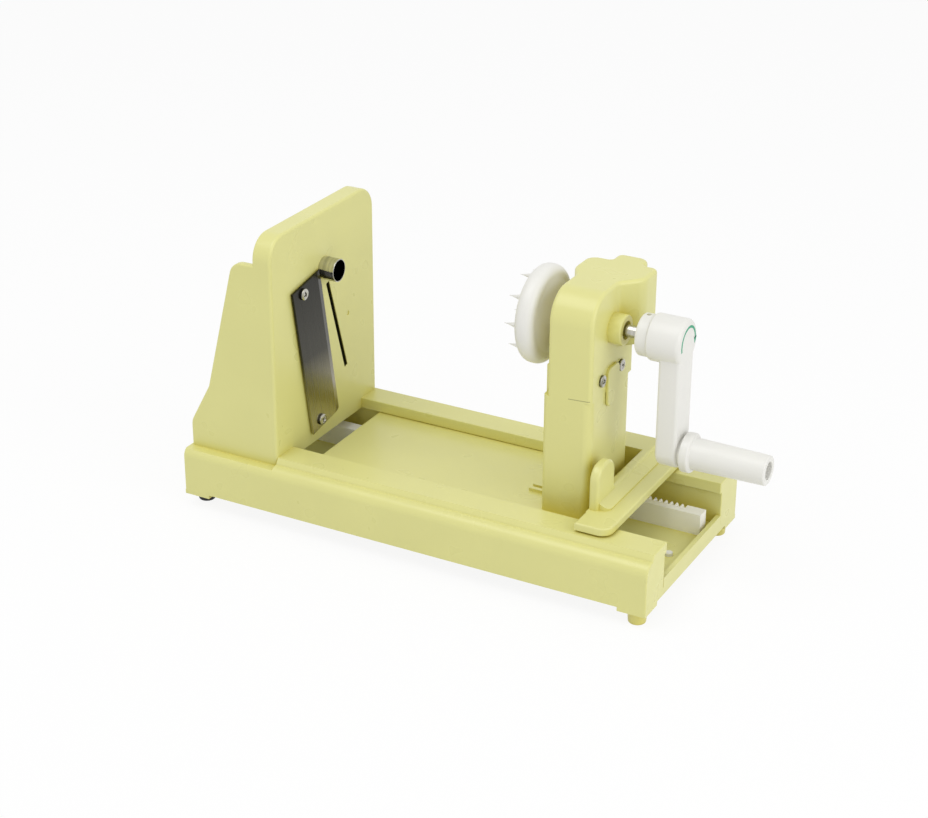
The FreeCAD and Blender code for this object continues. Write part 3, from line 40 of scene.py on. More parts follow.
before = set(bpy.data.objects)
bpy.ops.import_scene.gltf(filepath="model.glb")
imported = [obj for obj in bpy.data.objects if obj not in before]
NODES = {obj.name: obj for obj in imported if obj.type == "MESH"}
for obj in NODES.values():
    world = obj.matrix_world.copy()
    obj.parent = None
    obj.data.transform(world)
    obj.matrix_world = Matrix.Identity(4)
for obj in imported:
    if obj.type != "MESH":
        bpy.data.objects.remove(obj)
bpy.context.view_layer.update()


def middle(node, axis):
    """The middle of a node's box along an axis."""
    low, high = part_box(node)
    return (low[axis] + high[axis]) / 2


def reach(node, axis):
    """Half of a node's size along an axis."""
    low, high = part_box(node)
    return (high[axis] - low[axis]) / 2


SHAFT_HEIGHT = middle("drive_shaft", 2)
GRIP_HEIGHT = middle("handle_grip", 2)
WHEEL_HUB_LENGTH = 0.0086
WHEEL_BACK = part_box("spiked_wheel")[1][0] - WHEEL_HUB_LENGTH
SCREW_HEAD_RADIUS = 0.0039
GRAIN_DEPTH = 0.00004
STREAK_DEPTH = 0.00002


def paint(red, green, blue):
    """A display colour of 0 to 255 as the linear colour that a shader takes."""
    level = np.array([red, green, blue]) / 255
    return tuple(np.where(level <= 0.04045, level / 12.92, ((level + 0.055) / 1.055) ** 2.4))


def colour(name, words, value):
    """A colour property."""
    return bpy.props.FloatVectorProperty(name=name, description=words, default=value, size=3,
                                         min=0, max=1, subtype="COLOR")


def length(name, words, value):
    """A length property in metres."""
    return bpy.props.FloatProperty(name=name, description=words, default=value, min=0,
                                   unit="LENGTH", precision=4)


def share(name, words, value):
    """A property from 0 to 1."""
    return bpy.props.FloatProperty(name=name, description=words, default=value, min=0, max=1,
                                   subtype="FACTOR")


class SpiralizerFinishes(bpy.types.PropertyGroup):
    """Colours and gloss of the plastics, steels and rubber."""

    body: colour("Body plastic", "Pale yellow-green of the mouldings", paint(222, 219, 145))
    # Painted shade: the colour that the mouldings' narrow recesses turn towards
    recess_shade: colour("Recesses", "Deeper colour of the mouldings' narrow recesses", paint(212, 196, 58))
    white: colour("White plastic", "White of the wheel, crank and bushes", paint(232, 231, 225))
    # Painted light: a lighter copy of the white plastic, brighter to make up for the shade of the channel
    # the rack lies in
    rack: colour("Rack plastic", "Brighter white of the rack", paint(250, 249, 243))
    # Painted reflection: the blade runs from the lighter lower-end tone through this tone to a darker
    # upper end
    blade: colour("Blade steel", "Ground steel half way up the blade", paint(70, 69, 62))
    blade_low_reflection: colour("Blade end", "Ground steel at the blade's lower end", paint(186, 179, 148))
    steel: colour("Bright steel", "Steel of the shaft, tube, pins and screws", paint(190, 188, 180))
    rubber: colour("Rubber", "Black of the left feet", paint(38, 38, 38))
    mark: colour("Arrow", "Green of the direction mark on the crank", paint(34, 160, 118))
    body_gloss: share("Body roughness", "Roughness of the yellow-green plastic", 0.3)
    white_gloss: share("White roughness", "Roughness of the white plastic", 0.38)


class SpiralizerSizes(bpy.types.PropertyGroup):
    """Sizes of the turned and moulded pieces."""

    wheel_round: length("Wheel edge", "Rounding of the wheel's outer edges", 0.0055)
    wheel_dish: length("Wheel dish", "Depth of the dish in the wheel's spiked face", 0.0012)
    spike_length: length("Spike length", "How far the spikes stand off the wheel", 0.008)
    spike_radius: length("Spike radius", "Radius of a spike's foot", 0.0026)
    crank_round: length("Crank edge", "Rounding of the crank's edges", 0.0022)
    grip_root: length("Grip root", "Radius of the grip's barrel beside its ring", 0.0103)
    tube_lip: length("Tube lip", "Rounding of the coring tube's mouth", 0.0003)
    screw_dome: length("Screw dome", "Rise of the screw heads' crown", 0.0007)
    foot_round: length("Foot edge", "Rounding of the feet's edges", 0.0012)
    arrow_width: length("Arrow width", "Width of the direction mark's line", 0.0016)


class SpiralizerStage(bpy.types.PropertyGroup):
    """Light and camera."""

    world: bpy.props.FloatProperty(name="Room light", description="Strength of the room's even light",
                                   default=0.6, min=0)
    key: bpy.props.FloatProperty(name="Key lamp", description="Power of the large lamp overhead",
                                 default=6.2, min=0, unit="POWER")
    fill: bpy.props.FloatProperty(name="Fill lamp", description="Power of the lamp at the right",
                                  default=6.2, min=0, unit="POWER")
    focal: bpy.props.FloatProperty(name="Lens", description="Focal length of the camera, in millimetres",
                                   default=79.73, min=1)


# Shapes

def rounded_line(corners, steps=7):
    """Points along a broken line with rounded corners.

    Each corner (a, b, radius) becomes the arc of that radius that touches both of its runs, as a
    rational curve of second degree whose middle weight is the cosine of half the turn.
    """
    line = np.array(corners, float)
    spot, radius = line[:, :2], line[:, 2]
    before = spot - np.roll(spot, 1, 0)
    after = np.roll(spot, -1, 0) - spot
    before /= np.linalg.norm(before, axis=1)[:, None]
    after /= np.linalg.norm(after, axis=1)[:, None]
    turn = np.arccos(np.clip((before * after).sum(1), -1, 1)) / 2
    run = np.where(radius > 0, radius * np.tan(np.where(radius > 0, turn, 0)), 0)[:, None]
    start, end = (spot - before * run)[:, None], (spot + after * run)[:, None]
    weight = np.cos(turn)[:, None, None]
    part = np.linspace(0, 1, steps)[None, :, None]
    top = (1 - part) ** 2 * start + 2 * part * (1 - part) * weight * spot[:, None] + part ** 2 * end
    points = (top / ((1 - part) ** 2 + 2 * part * (1 - part) * weight + part ** 2)).reshape(-1, 2)
    step = np.linalg.norm(points - np.roll(points, 1, 0), axis=1)
    return points[step > 1e-8]


def grid_faces(rows, columns, closed_rows=False):
    """Quads between the points of a grid, which is closed in its second direction."""
    row, column = np.meshgrid(np.arange(rows if closed_rows else rows - 1), np.arange(columns),
                              indexing="ij")
    below, right = (row + 1) % rows, (column + 1) % columns
    return np.stack([row * columns + column, row * columns + right,
                     below * columns + right, below * columns + column], -1).reshape(-1, 4)


def turned(profile, centre, axis=0, count=96, ring=False):
    """A surface of revolution: each profile point (place along the axis, radius) goes round in a circle.

    Point = centre + radius * (cos, sin) in the other two directions. A ring has a closed profile.
    """
    profile = np.array(profile, float)
    angle = np.linspace(0, 2 * np.pi, count, endpoint=False)
    sides = [(axis + 1) % 3, (axis + 2) % 3]
    points = np.zeros((len(profile), count, 3))
    points[..., axis] = profile[:, :1]
    points[..., sides[0]] = centre[sides[0]] + profile[:, 1:] * np.cos(angle)
    points[..., sides[1]] = centre[sides[1]] + profile[:, 1:] * np.sin(angle)
    return points.reshape(-1, 3), grid_faces(len(profile), count, ring)


def joined(*surfaces):
    """Several surfaces as one list of points and one of faces."""
    starts = np.cumsum([0] + [len(points) for points, faces in surfaces[:-1]])
    return (np.concatenate([points for points, faces in surfaces]),
            np.concatenate([faces + start for (points, faces), start in zip(surfaces, starts)]))


def repeated(surface, places):
    """Copies of a surface, each moved to one of the places."""
    points, faces = surface
    places = np.array(places, float)
    moved = (places[:, None] + points[None]).reshape(-1, 3)
    steps = np.arange(len(places))[:, None, None] * len(points)
    return moved, (faces[None] + steps).reshape(-1, 4)


def make_piece(name, surface, body, material, stands_for=(), corner=0.6):
    """A mesh object of a surface: doubles merged, faces turned outwards, smooth except at corners."""
    points, faces = surface
    mesh = bpy.data.meshes.new(name)
    mesh.from_pydata(points, [], faces)
    work = bmesh.new()
    work.from_mesh(mesh)
    bmesh.ops.remove_doubles(work, verts=work.verts, dist=1e-7)
    bmesh.ops.recalc_face_normals(work, faces=work.faces)
    work.to_mesh(mesh)
    work.free()
    mesh.shade_smooth()
    mesh.set_sharp_from_angle(angle=corner)
    mesh.materials.append(material)
    piece = bpy.data.objects.new(name, mesh)
    bpy.context.scene.collection.objects.link(piece)
    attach(piece, body)
    if stands_for:
        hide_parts(*stands_for)
    return piece


# Materials

def new_group(name, inputs, outputs):
    """A shader node group with named inputs (kind, default) and outputs."""
    group = bpy.data.node_groups.new(name, "ShaderNodeTree")
    for title, (kind, value) in inputs.items():
        socket = group.interface.new_socket(title, in_out="INPUT", socket_type="NodeSocket" + kind)
        socket.default_value = value
    for title, kind in outputs.items():
        group.interface.new_socket(title, in_out="OUTPUT", socket_type="NodeSocket" + kind)
    return group


class Wiring:
    """Adds nodes to a tree and joins their sockets."""

    def __init__(self, tree):
        self.tree = tree

    def add(self, kind, fields=(), **sockets):
        """A node; each keyword is a socket's name with underscores for spaces: a link or a value."""
        node = self.tree.nodes.new("ShaderNode" + kind)
        for field, value in dict(fields).items():
            setattr(node, field, value)
        for title, value in sockets.items():
            self.join(node.inputs[title.replace("_", " ")], value)
        return node

    def join(self, socket, value):
        """Links an output to a socket, or sets the socket's value."""
        if isinstance(value, bpy.types.NodeSocket):
            self.tree.links.new(value, socket)
        else:
            socket.default_value = value

    def sum(self, how, *values):
        """A Math node of one kind."""
        node = self.tree.nodes.new("ShaderNodeMath")
        node.operation = how
        for socket, value in zip(node.inputs, values):
            self.join(socket, value)
        return node.outputs[0]

    def blend(self, factor, first, second):
        """A mix of two colours."""
        node = self.tree.nodes.new("ShaderNodeMix")
        node.data_type = "RGBA"
        for title, value in (("Factor_Float", factor), ("A_Color", first), ("B_Color", second)):
            self.join(next(socket for socket in node.inputs if socket.identifier == title), value)
        return next(socket for socket in node.outputs if socket.identifier == "Result_Color")

    def range(self, value, low, high, to_low=0.0, to_high=1.0):
        """A clamped straight rise from one value to another."""
        node = self.add("MapRange", Value=value, From_Min=low, From_Max=high, To_Min=to_low,
                        To_Max=to_high)
        return node.outputs[0]


def build_moulded_group():
    """Moulded plastic: faint cloudy colour, smudges in the gloss, fine grain and broad low waves."""
    cloud_gain, smudge_gain, wave_height = 3.0, 0.15, 1.6
    group = new_group("Moulded plastic",
                      {"Colour": ("Color", (0.8, 0.8, 0.8, 1)), "Clouding": ("Float", 0.03),
                       "Roughness": ("Float", 0.3), "Grain": ("Float", 1.0)},
                      {"Colour": "Color", "Roughness": "Float", "Height": "Float"})
    net = Wiring(group)
    entry = group.nodes.new("NodeGroupInput")
    leave = group.nodes.new("NodeGroupOutput")
    place = net.add("TexCoord").outputs["Object"]
    cloud = net.add("TexNoise", Vector=place, Scale=26.0, Detail=1.0).outputs["Fac"]
    tone = net.sum("MULTIPLY", net.sum("SUBTRACT", cloud, 0.5), cloud_gain)
    lift = net.sum("ADD", 1.0, net.sum("MULTIPLY", tone, entry.outputs["Clouding"]))
    bright = net.add("HueSaturation", Hue=0.5, Saturation=1.0, Value=lift, Fac=1.0,
                     Color=entry.outputs["Colour"])
    net.join(leave.inputs["Colour"], bright.outputs[0])
    smudge = net.add("TexNoise", Vector=place, Scale=60.0, Detail=1.0).outputs["Fac"]
    uneven = net.sum("MULTIPLY", net.sum("SUBTRACT", smudge, 0.5), smudge_gain)
    rough = net.sum("ADD", entry.outputs["Roughness"], uneven)
    net.join(leave.inputs["Roughness"], rough)
    grain = net.add("TexNoise", Vector=place, Scale=900.0, Detail=1.0).outputs["Fac"]
    wave = net.add("TexNoise", Vector=place, Scale=55.0, Detail=1.0).outputs["Fac"]
    height = net.sum("ADD", net.sum("MULTIPLY", grain, entry.outputs["Grain"]),
                     net.sum("MULTIPLY", wave, wave_height))
    net.join(leave.inputs["Height"], height)
    return group


def build_brushed_group():
    """Brushed or turned steel: streaks of tone, gloss and height that are long along one direction."""
    faint, strong = 0.3, 0.7
    group = new_group("Worked steel",
                      {"Colour": ("Color", (0.5, 0.5, 0.5, 1)), "Stretch": ("Vector", (900, 900, 20)),
                       "Turn": ("Vector", (0, 0, 0)), "Contrast": ("Float", 0.25),
                       "Roughness": ("Float", 0.3)},
                      {"Colour": "Color", "Roughness": "Float", "Height": "Float"})
    net = Wiring(group)
    entry = group.nodes.new("NodeGroupInput")
    leave = group.nodes.new("NodeGroupOutput")
    place = net.add("TexCoord").outputs["Object"]
    turn = net.add("Mapping", Vector=place, Rotation=entry.outputs["Turn"])
    stretch = net.add("VectorMath", {"operation": "MULTIPLY"})
    net.join(stretch.inputs[0], turn.outputs[0])
    net.join(stretch.inputs[1], entry.outputs["Stretch"])
    streak = net.add("TexNoise", Vector=stretch.outputs[0], Scale=1.0, Detail=5.0,
                     Roughness=0.6).outputs["Fac"]
    tone = net.range(streak, faint, strong, -1.0, 1.0)
    lift = net.sum("ADD", 1.0, net.sum("MULTIPLY", tone, entry.outputs["Contrast"]))
    bright = net.add("HueSaturation", Hue=0.5, Saturation=1.0, Value=lift, Fac=1.0,
                     Color=entry.outputs["Colour"])
    net.join(leave.inputs["Colour"], bright.outputs[0])
    rough = net.sum("ADD", entry.outputs["Roughness"], net.range(streak, faint, strong, 0.08, -0.06))
    net.join(leave.inputs["Roughness"], rough)
    net.join(leave.inputs["Height"], streak)
    return group


def build_seam_group():
    """A fine parting line on a front face: 1 close to a level that rises from its start to its end."""
    group = new_group("Parting line",
                      {"Start": ("Float", 0.0), "End": ("Float", 0.1), "Front": ("Float", 0.0),
                       "Level": ("Float", 0.1), "Rise": ("Float", 0.0), "Width": ("Float", 0.0002)},
                      {"Mask": "Float"})
    net = Wiring(group)
    entry = group.nodes.new("NodeGroupInput").outputs
    leave = group.nodes.new("NodeGroupOutput")
    axes = net.add("SeparateXYZ", Vector=net.add("TexCoord").outputs["Object"]).outputs
    along = net.sum("SUBTRACT", axes["X"], entry["Start"])
    level = net.sum("ADD", entry["Level"], net.sum("MULTIPLY", along, entry["Rise"]))
    off = net.sum("ABSOLUTE", net.sum("SUBTRACT", axes["Z"], level))
    near = net.sum("LESS_THAN", off, entry["Width"])
    inside = net.sum("MULTIPLY", net.sum("GREATER_THAN", along, 0.0),
                     net.sum("LESS_THAN", axes["X"], entry["End"]))
    front = net.sum("LESS_THAN", axes["Y"], entry["Front"])
    net.join(leave.inputs["Mask"], net.sum("MULTIPLY", near, net.sum("MULTIPLY", inside, front)))
    return group


def build_slit_group():
    """Painted shade of a narrow slot in a face that looks along X: it grows from the face inwards."""
    shade_start, shade_end = -0.00005, -0.0009
    group = new_group("Slot shade",
                      {"Middle": ("Vector", (0, 0, 0)), "Turn": ("Vector", (0, 0, 0)),
                       "Half width": ("Float", 0.002), "Half length": ("Float", 0.02)},
                      {"Mask": "Float"})
    net = Wiring(group)
    entry = group.nodes.new("NodeGroupInput").outputs
    leave = group.nodes.new("NodeGroupOutput")
    local = net.add("Mapping", {"vector_type": "TEXTURE"}, Vector=net.add("TexCoord").outputs["Object"],
                    Location=entry["Middle"], Rotation=entry["Turn"])
    axes = net.add("SeparateXYZ", Vector=local.outputs[0]).outputs
    across = net.sum("LESS_THAN", net.sum("ABSOLUTE", axes["Y"]), entry["Half width"])
    along = net.sum("LESS_THAN", net.sum("ABSOLUTE", axes["Z"]), entry["Half length"])
    depth = net.range(axes["X"], shade_start, shade_end)
    net.join(leave.inputs["Mask"], net.sum("MULTIPLY", depth, net.sum("MULTIPLY", across, along)))
    return group


def shared_group(title, build):
    """A node group by name, built the first time that it is asked for."""
    return bpy.data.node_groups.get(title) or build()


def place_group(wiring, title, build, **values):
    """A group node in a material with its own values."""
    node = wiring.tree.nodes.new("ShaderNodeGroup")
    node.node_tree = shared_group(title, build)
    for name, value in values.items():
        wiring.join(node.inputs[name], value)
    return node


def new_material(name, metallic=0.0, specular=0.5, coat=0.0):
    """A material with a Principled shader, and the wiring to fill it."""
    material = bpy.data.materials.get(name)
    if material:
        return material, None, None
    material = bpy.data.materials.new(name)
    material.use_nodes = True
    shader = material.node_tree.nodes["Principled BSDF"]
    shader.inputs["Metallic"].default_value = metallic
    shader.inputs["Specular IOR Level"].default_value = specular
    shader.inputs["Coat Weight"].default_value = coat
    return material, shader, Wiring(material.node_tree)


def shade_of(tone, part):
    """A share of a tone, as a colour for a socket."""
    return (*(value * part for value in tone), 1)


def finish_surface(net, shader, group, strength, distance):
    """Joins a group's roughness and height to the shader."""
    bump = net.add("Bump", Strength=strength, Distance=distance, Height=group.outputs["Height"])
    net.join(shader.inputs["Roughness"], group.outputs["Roughness"])
    net.join(shader.inputs["Normal"], bump.outputs[0])


def plastic(name, tone, roughness, clouding=0.02, grain=0.6, seam=None, slit=None, recess=None):
    """Moulded plastic, with a fine parting line or the painted shade of a slit where the moulding has
    one.

    Narrow recesses get a deeper colour as painted shade, standing in for light that has passed through
    the plastic.
    """
    material, shader, net = new_material(name, specular=0.45)
    if not net:
        return material
    group = place_group(net, "Moulded plastic", build_moulded_group, Colour=(*tone, 1),
                        Roughness=roughness, Clouding=clouding, Grain=grain)
    shown = group.outputs["Colour"]
    if recess:
        # Painted shade: where ambient occlusion finds the plastic enclosed, its colour goes towards the
        # recess colour
        open_side, enclosed, most = 0.75, 0.25, 0.7
        near = net.add("AmbientOcclusion", {"samples": 8}, Distance=0.022).outputs["AO"]
        shown = net.blend(net.range(near, open_side, enclosed, 0.0, most), shown, (*recess, 1))
    if seam:
        line = place_group(net, "Parting line", build_seam_group, **seam)
        shown = net.blend(line.outputs["Mask"], shown, shade_of(tone, 0.55))
    if slit:
        # Painted shade: the slot's walls go almost black from the face inwards
        shade = place_group(net, "Slot shade", build_slit_group, **slit)
        shown = net.blend(shade.outputs["Mask"], shown, shade_of(tone, 0.03))
    net.join(shader.inputs["Base Color"], shown)
    finish_surface(net, shader, group, 0.04, GRAIN_DEPTH)
    return material


def steel(name, tone, roughness, stretch, turn=(0, 0, 0), contrast=0.25):
    """Metal with the streaks that its making leaves."""
    material, shader, net = new_material(name, metallic=1.0)
    if not net:
        return material
    group = place_group(net, "Worked steel", build_brushed_group, Colour=(*tone, 1), Stretch=stretch,
                        Turn=turn, Contrast=contrast, Roughness=roughness)
    net.join(shader.inputs["Base Color"], group.outputs["Colour"])
    finish_surface(net, shader, group, 0.15, STREAK_DEPTH)
    return material


def body_plastic():
    """The pale yellow-green plastic of the mouldings."""
    given = bpy.context.scene.spiralizer_finishes
    return plastic("pale green plastic", given.body, given.body_gloss, recess=given.recess_shade)


def white_plastic():
    """The white plastic of the turning pieces and the rack."""
    given = bpy.context.scene.spiralizer_finishes
    return plastic("white plastic", given.white, given.white_gloss, clouding=0.012)


def bright_steel():
    """Steel turned on a lathe, with rings round X."""
    given = bpy.context.scene.spiralizer_finishes
    return steel("turned steel", given.steel, 0.2, (1500, 60, 60), contrast=0.16)


def rubber():
    """Black rubber with a coarse grain."""
    given = bpy.context.scene.spiralizer_finishes
    return plastic("black rubber", given.rubber, 0.65, clouding=0.15, grain=2.5)


def dress(material, *names):
    """Puts a material on CAD nodes."""
    for name in names:
        for slot in NODES[name].material_slots:
            slot.material = material


# Pieces

class DressMouldings(bpy.types.Operator):
    """Finishes the base tray, blade wall, platform, column, head and crossmember."""

    bl_idname = "spiralizer.dress_mouldings"
    bl_label = "Pale green mouldings"

    def execute(self, context):
        given = context.scene.spiralizer_finishes
        dress(body_plastic(), "base_tray", "platform", "crossmember", "coring_tube_nut")
        low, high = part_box("column")
        seam_start, seam_end, seam_drop, seam_depth = 0.0155, 0.0008, 0.0399, 0.001
        seam = {"Start": high[0] - seam_start, "End": high[0] - seam_end,
                "Front": low[1] + seam_depth, "Level": SHAFT_HEIGHT - seam_drop,
                "Rise": 0.057, "Width": 0.00028}
        dress(plastic("head plastic", given.body, given.body_gloss, seam=seam, recess=given.recess_shade),
              "head", "column")
        # Where the blade wall's slot gets its painted shade
        tilt, reached, behind_blade = math.radians(17), 0.0485, 0.001
        slit = {"Middle": (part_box("blade_plate")[0][0] - behind_blade, reached * math.sin(tilt),
                           SHAFT_HEIGHT - reached * math.cos(tilt)),
                "Turn": (tilt, 0, 0), "Half width": 0.00205, "Half length": 0.0362}
        dress(plastic("wall plastic", given.body, given.body_gloss, slit=slit, recess=given.recess_shade),
              "blade_wall")
        return {"FINISHED"}


class DressWhiteParts(bpy.types.Operator):
    """Finishes the rack, pinion, bushes, spacer and plug."""

    bl_idname = "spiralizer.dress_white_parts"
    bl_label = "White rack, pinion and bushes"

    def execute(self, context):
        given = context.scene.spiralizer_finishes
        # Painted light: the rack gets the lighter white
        dress(plastic("rack plastic", given.rack, given.white_gloss, clouding=0.01), "feed_rack")
        dress(white_plastic(), "feed_pinion", "wheel_side_bush", "crank_side_bush",
              "handle_spacer", "spiked_wheel", "crank_arm", "handle_grip", "floor_plug")
        return {"FINISHED"}


class DressSteel(bpy.types.Operator):
    """Finishes the blade, shaft, tube, pins, washers and screws."""

    bl_idname = "spiralizer.dress_steel"
    bl_label = "Steel pieces"

    def execute(self, context):
        given = context.scene.spiralizer_finishes
        tilt = math.radians(10.3)
        dress(self.blade(given, tilt), "blade_plate")
        dress(bright_steel(), "drive_shaft", "pinion_axle", "wheel_pin", "crank_pin", "wheel_washer",
              "handle_pin", "handle_washer", "rack_screws", "wall_screws", "column_screws",
              "crossmember_screws", "blade_screws", "head_screws", "handle_screw", "coring_tube")
        return {"FINISHED"}

    def blade(self, given, tilt):
        """Ground steel with a painted reflection: dark at the blade's upper end and lighter towards its
        lower end.
        """
        material, shader, net = new_material("ground blade", metallic=1.0)
        low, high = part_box("blade_plate")
        height = net.add("SeparateXYZ", Vector=net.add("TexCoord").outputs["Object"]).outputs["Z"]
        half_way = (low[2] + high[2]) / 2
        # Painted reflection: lighter towards the lower end, darker towards the upper end
        tone = net.blend(net.range(height, low[2], half_way), (*given.blade_low_reflection, 1), (*given.blade, 1))
        tone = net.blend(net.range(height, half_way, high[2]), tone, shade_of(given.blade, 0.45))
        group = place_group(net, "Worked steel", build_brushed_group, Colour=tone,
                            Stretch=(900, 900, 14), Turn=(-tilt, 0, 0), Contrast=0.06,
                            Roughness=0.24)
        net.join(shader.inputs["Base Color"], group.outputs["Colour"])
        finish_surface(net, shader, group, 0.06, STREAK_DEPTH)
        return material


class BuildWheel(bpy.types.Operator):
    """Turns the spiked wheel: a rounded disc with a dished face, a hub and two rings of spikes."""

    bl_idname = "spiralizer.build_wheel"
    bl_label = "Spiked wheel"

    def execute(self, context):
        given = context.scene.spiralizer_sizes
        low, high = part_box("spiked_wheel")
        radius = reach("spiked_wheel", 2)
        face, back = low[0] + given.spike_length, WHEEL_BACK
        floor, dish_radius, dish_edge = face + given.wheel_dish, radius * 0.52, radius * 0.64
        flare, flare_foot, flare_top = back + 0.0032, 0.024, 0.012
        hub, bore, bore_end = 0.0094, 0.00405, back - 0.002
        corners = [(floor, 0, 0), (floor, dish_radius, 0.004), (face, dish_edge, 0.004),
                   (face, radius, given.wheel_round), (back, radius, given.wheel_round),
                   (back, flare_foot, 0.006), (flare, flare_top, 0.0012), (flare, hub, 0.001),
                   (high[0], hub, 0.0006), (high[0], bore, 0), (bore_end, bore, 0), (bore_end, 0, 0)]
        disc = turned(rounded_line(corners), (0, 0, SHAFT_HEIGHT), count=144)
        sunk_foot, outer_ring, inner_ring = 0.0004, 0.0255, 0.0125
        spikes = [self.spike(given, low[0], floor + sunk_foot, count, ring, start)
                  for count, ring, start in ((9, outer_ring, 100), (5, inner_ring, 90))]
        make_piece("turned_wheel", joined(disc, *spikes), "crank", white_plastic(),
                   ["spiked_wheel"])
        return {"FINISHED"}

    def spike(self, given, tip, root, count, ring, start):
        """A ring of thorns: radius falls from the foot to the tip as the 1.5th power of the way left."""
        way, point = np.linspace(0, 1, 14), 0.00018
        radius = point + (given.spike_radius - point) * (1 - way) ** 1.5
        profile = np.stack([root + (tip - root) * way, radius], 1)
        profile = np.concatenate([[[root, 0]], profile, [[tip, 0]]])
        angle = np.radians(start + 360 * np.arange(count) / count)
        places = np.stack([0 * angle, ring * np.cos(angle), SHAFT_HEIGHT + ring * np.sin(angle)], 1)
        return repeated(turned(profile, (0, 0, 0), count=20), places)


class BuildCrank(bpy.types.Operator):
    """Moulds the crank: a barrel with a collar, and a straight arm with rounded edges."""

    bl_idname = "spiralizer.build_crank"
    bl_label = "Crank arm"

    def execute(self, context):
        given = context.scene.spiralizer_sizes
        low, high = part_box("crank_arm")
        round_edge = given.crank_round
        bore, collar, barrel, half_width = 0.0041, 0.0135, 0.015, 0.0111
        step = low[0] + 0.008
        corners = [(low[0], bore, 0), (low[0], collar, 0.0015), (step, collar, 0.0007),
                   (step, barrel, 0.0012), (high[0], barrel, 0.0034), (high[0], 0, 0),
                   (step, 0, 0), (step, bore, 0)]
        hub = turned(rounded_line(corners), (0, 0, SHAFT_HEIGHT), count=128)
        start, end = high[0] - 0.0147, high[0] - 0.0005
        section = rounded_line([(start, 0, 0), (start, half_width, round_edge),
                                (end, half_width, round_edge), (end, 0, 0)])
        arm = self.arm(section[1:], SHAFT_HEIGHT, GRIP_HEIGHT)
        make_piece("moulded_crank", joined(hub, arm), "crank", white_plastic(),
                   ["crank_arm"])
        return {"FINISHED"}

    def arm(self, section, top, bottom):
        """A bar with round ends: each (x, half width) of the section is drawn round two centres.

        Point = the nearer centre + half width * (cos, sin), with the top centre for the upper half.
        """
        angle = np.linspace(0, 2 * np.pi, 96, endpoint=False) + np.pi / 96
        centre = np.where(np.sin(angle) > 0, top, bottom)
        points = np.zeros((len(section), len(angle), 3))
        points[..., 0] = section[:, :1]
        points[..., 1] = section[:, 1:] * np.cos(angle)
        points[..., 2] = centre + section[:, 1:] * np.sin(angle)
        return points.reshape(-1, 3), grid_faces(len(section), len(angle))


class BuildArrow(bpy.types.Operator):
    """Lays the thin green arrow that shows the direction of turning on the end of the crank."""

    bl_idname = "spiralizer.build_arrow"
    bl_label = "Direction arrow"

    def execute(self, context):
        given = context.scene.spiralizer_sizes
        finishes = context.scene.spiralizer_finishes
        face, radius, line_steps, head_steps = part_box("crank_arm")[1][0], 0.0104, 60, 12
        line_angle = np.radians(np.linspace(196, 0, line_steps))
        line_width = np.full(line_steps, given.arrow_width / 2)
        head_angle = np.radians(np.linspace(4, -20, head_steps))
        head_width = np.linspace(given.arrow_width * 1.3, 0.00005, head_steps)
        ribbon = self.ribbon(face, radius, np.concatenate([line_angle, head_angle]),
                             np.concatenate([line_width, head_width]))
        mark = plastic("green mark", finishes.mark, 0.4, clouding=0.05)
        make_piece("direction_arrow", ribbon, "crank", mark)
        return {"FINISHED"}

    def ribbon(self, face, radius, angle, half_width):
        """A flat ribbon along an arc: its long edges lie half its width inside and outside the radius."""
        above, below = 0.00006, -0.0003
        sides = np.array([[-1, -1], [1, -1], [1, 1], [-1, 1]])
        round_at = radius + sides[None, :, 0] * half_width[:, None]
        points = np.zeros((len(angle), 4, 3))
        points[..., 0] = face + np.where(sides[:, 1] > 0, above, below)
        points[..., 1] = round_at * np.cos(angle)[:, None]
        points[..., 2] = SHAFT_HEIGHT + round_at * np.sin(angle)[:, None]
        middle_start = points[:1].mean(1, keepdims=True).repeat(4, 1)
        middle_end = points[-1:].mean(1, keepdims=True).repeat(4, 1)
        points = np.concatenate([middle_start, points, middle_end])
        return points.reshape(-1, 3), grid_faces(len(points), 4)


class BuildGrip(bpy.types.Operator):
    """Turns the grip: a ring and a tapered barrel with a hollow end."""

    bl_idname = "spiralizer.build_grip"
    bl_label = "Turning grip"

    def execute(self, context):
        given = context.scene.spiralizer_sizes
        low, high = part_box("handle_grip")
        bore, ring, barrel, wall = 0.00406, 0.0128, 0.0096, 0.0039
        hollow, ring_end, seat = barrel - wall, low[0] + 0.006, high[0] - 0.009
        corners = [(low[0], bore, 0), (low[0], ring, 0.0009), (ring_end, ring, 0.0014),
                   (ring_end, given.grip_root, 0.0009), (high[0], barrel, 0.0012),
                   (high[0], hollow, 0.0006), (seat, hollow, 0.0004), (seat, bore, 0)]
        make_piece("turned_grip", turned(rounded_line(corners, 9), (0, 0, GRIP_HEIGHT), ring=True),
                   "grip", white_plastic(), ["handle_grip"])
        return {"FINISHED"}


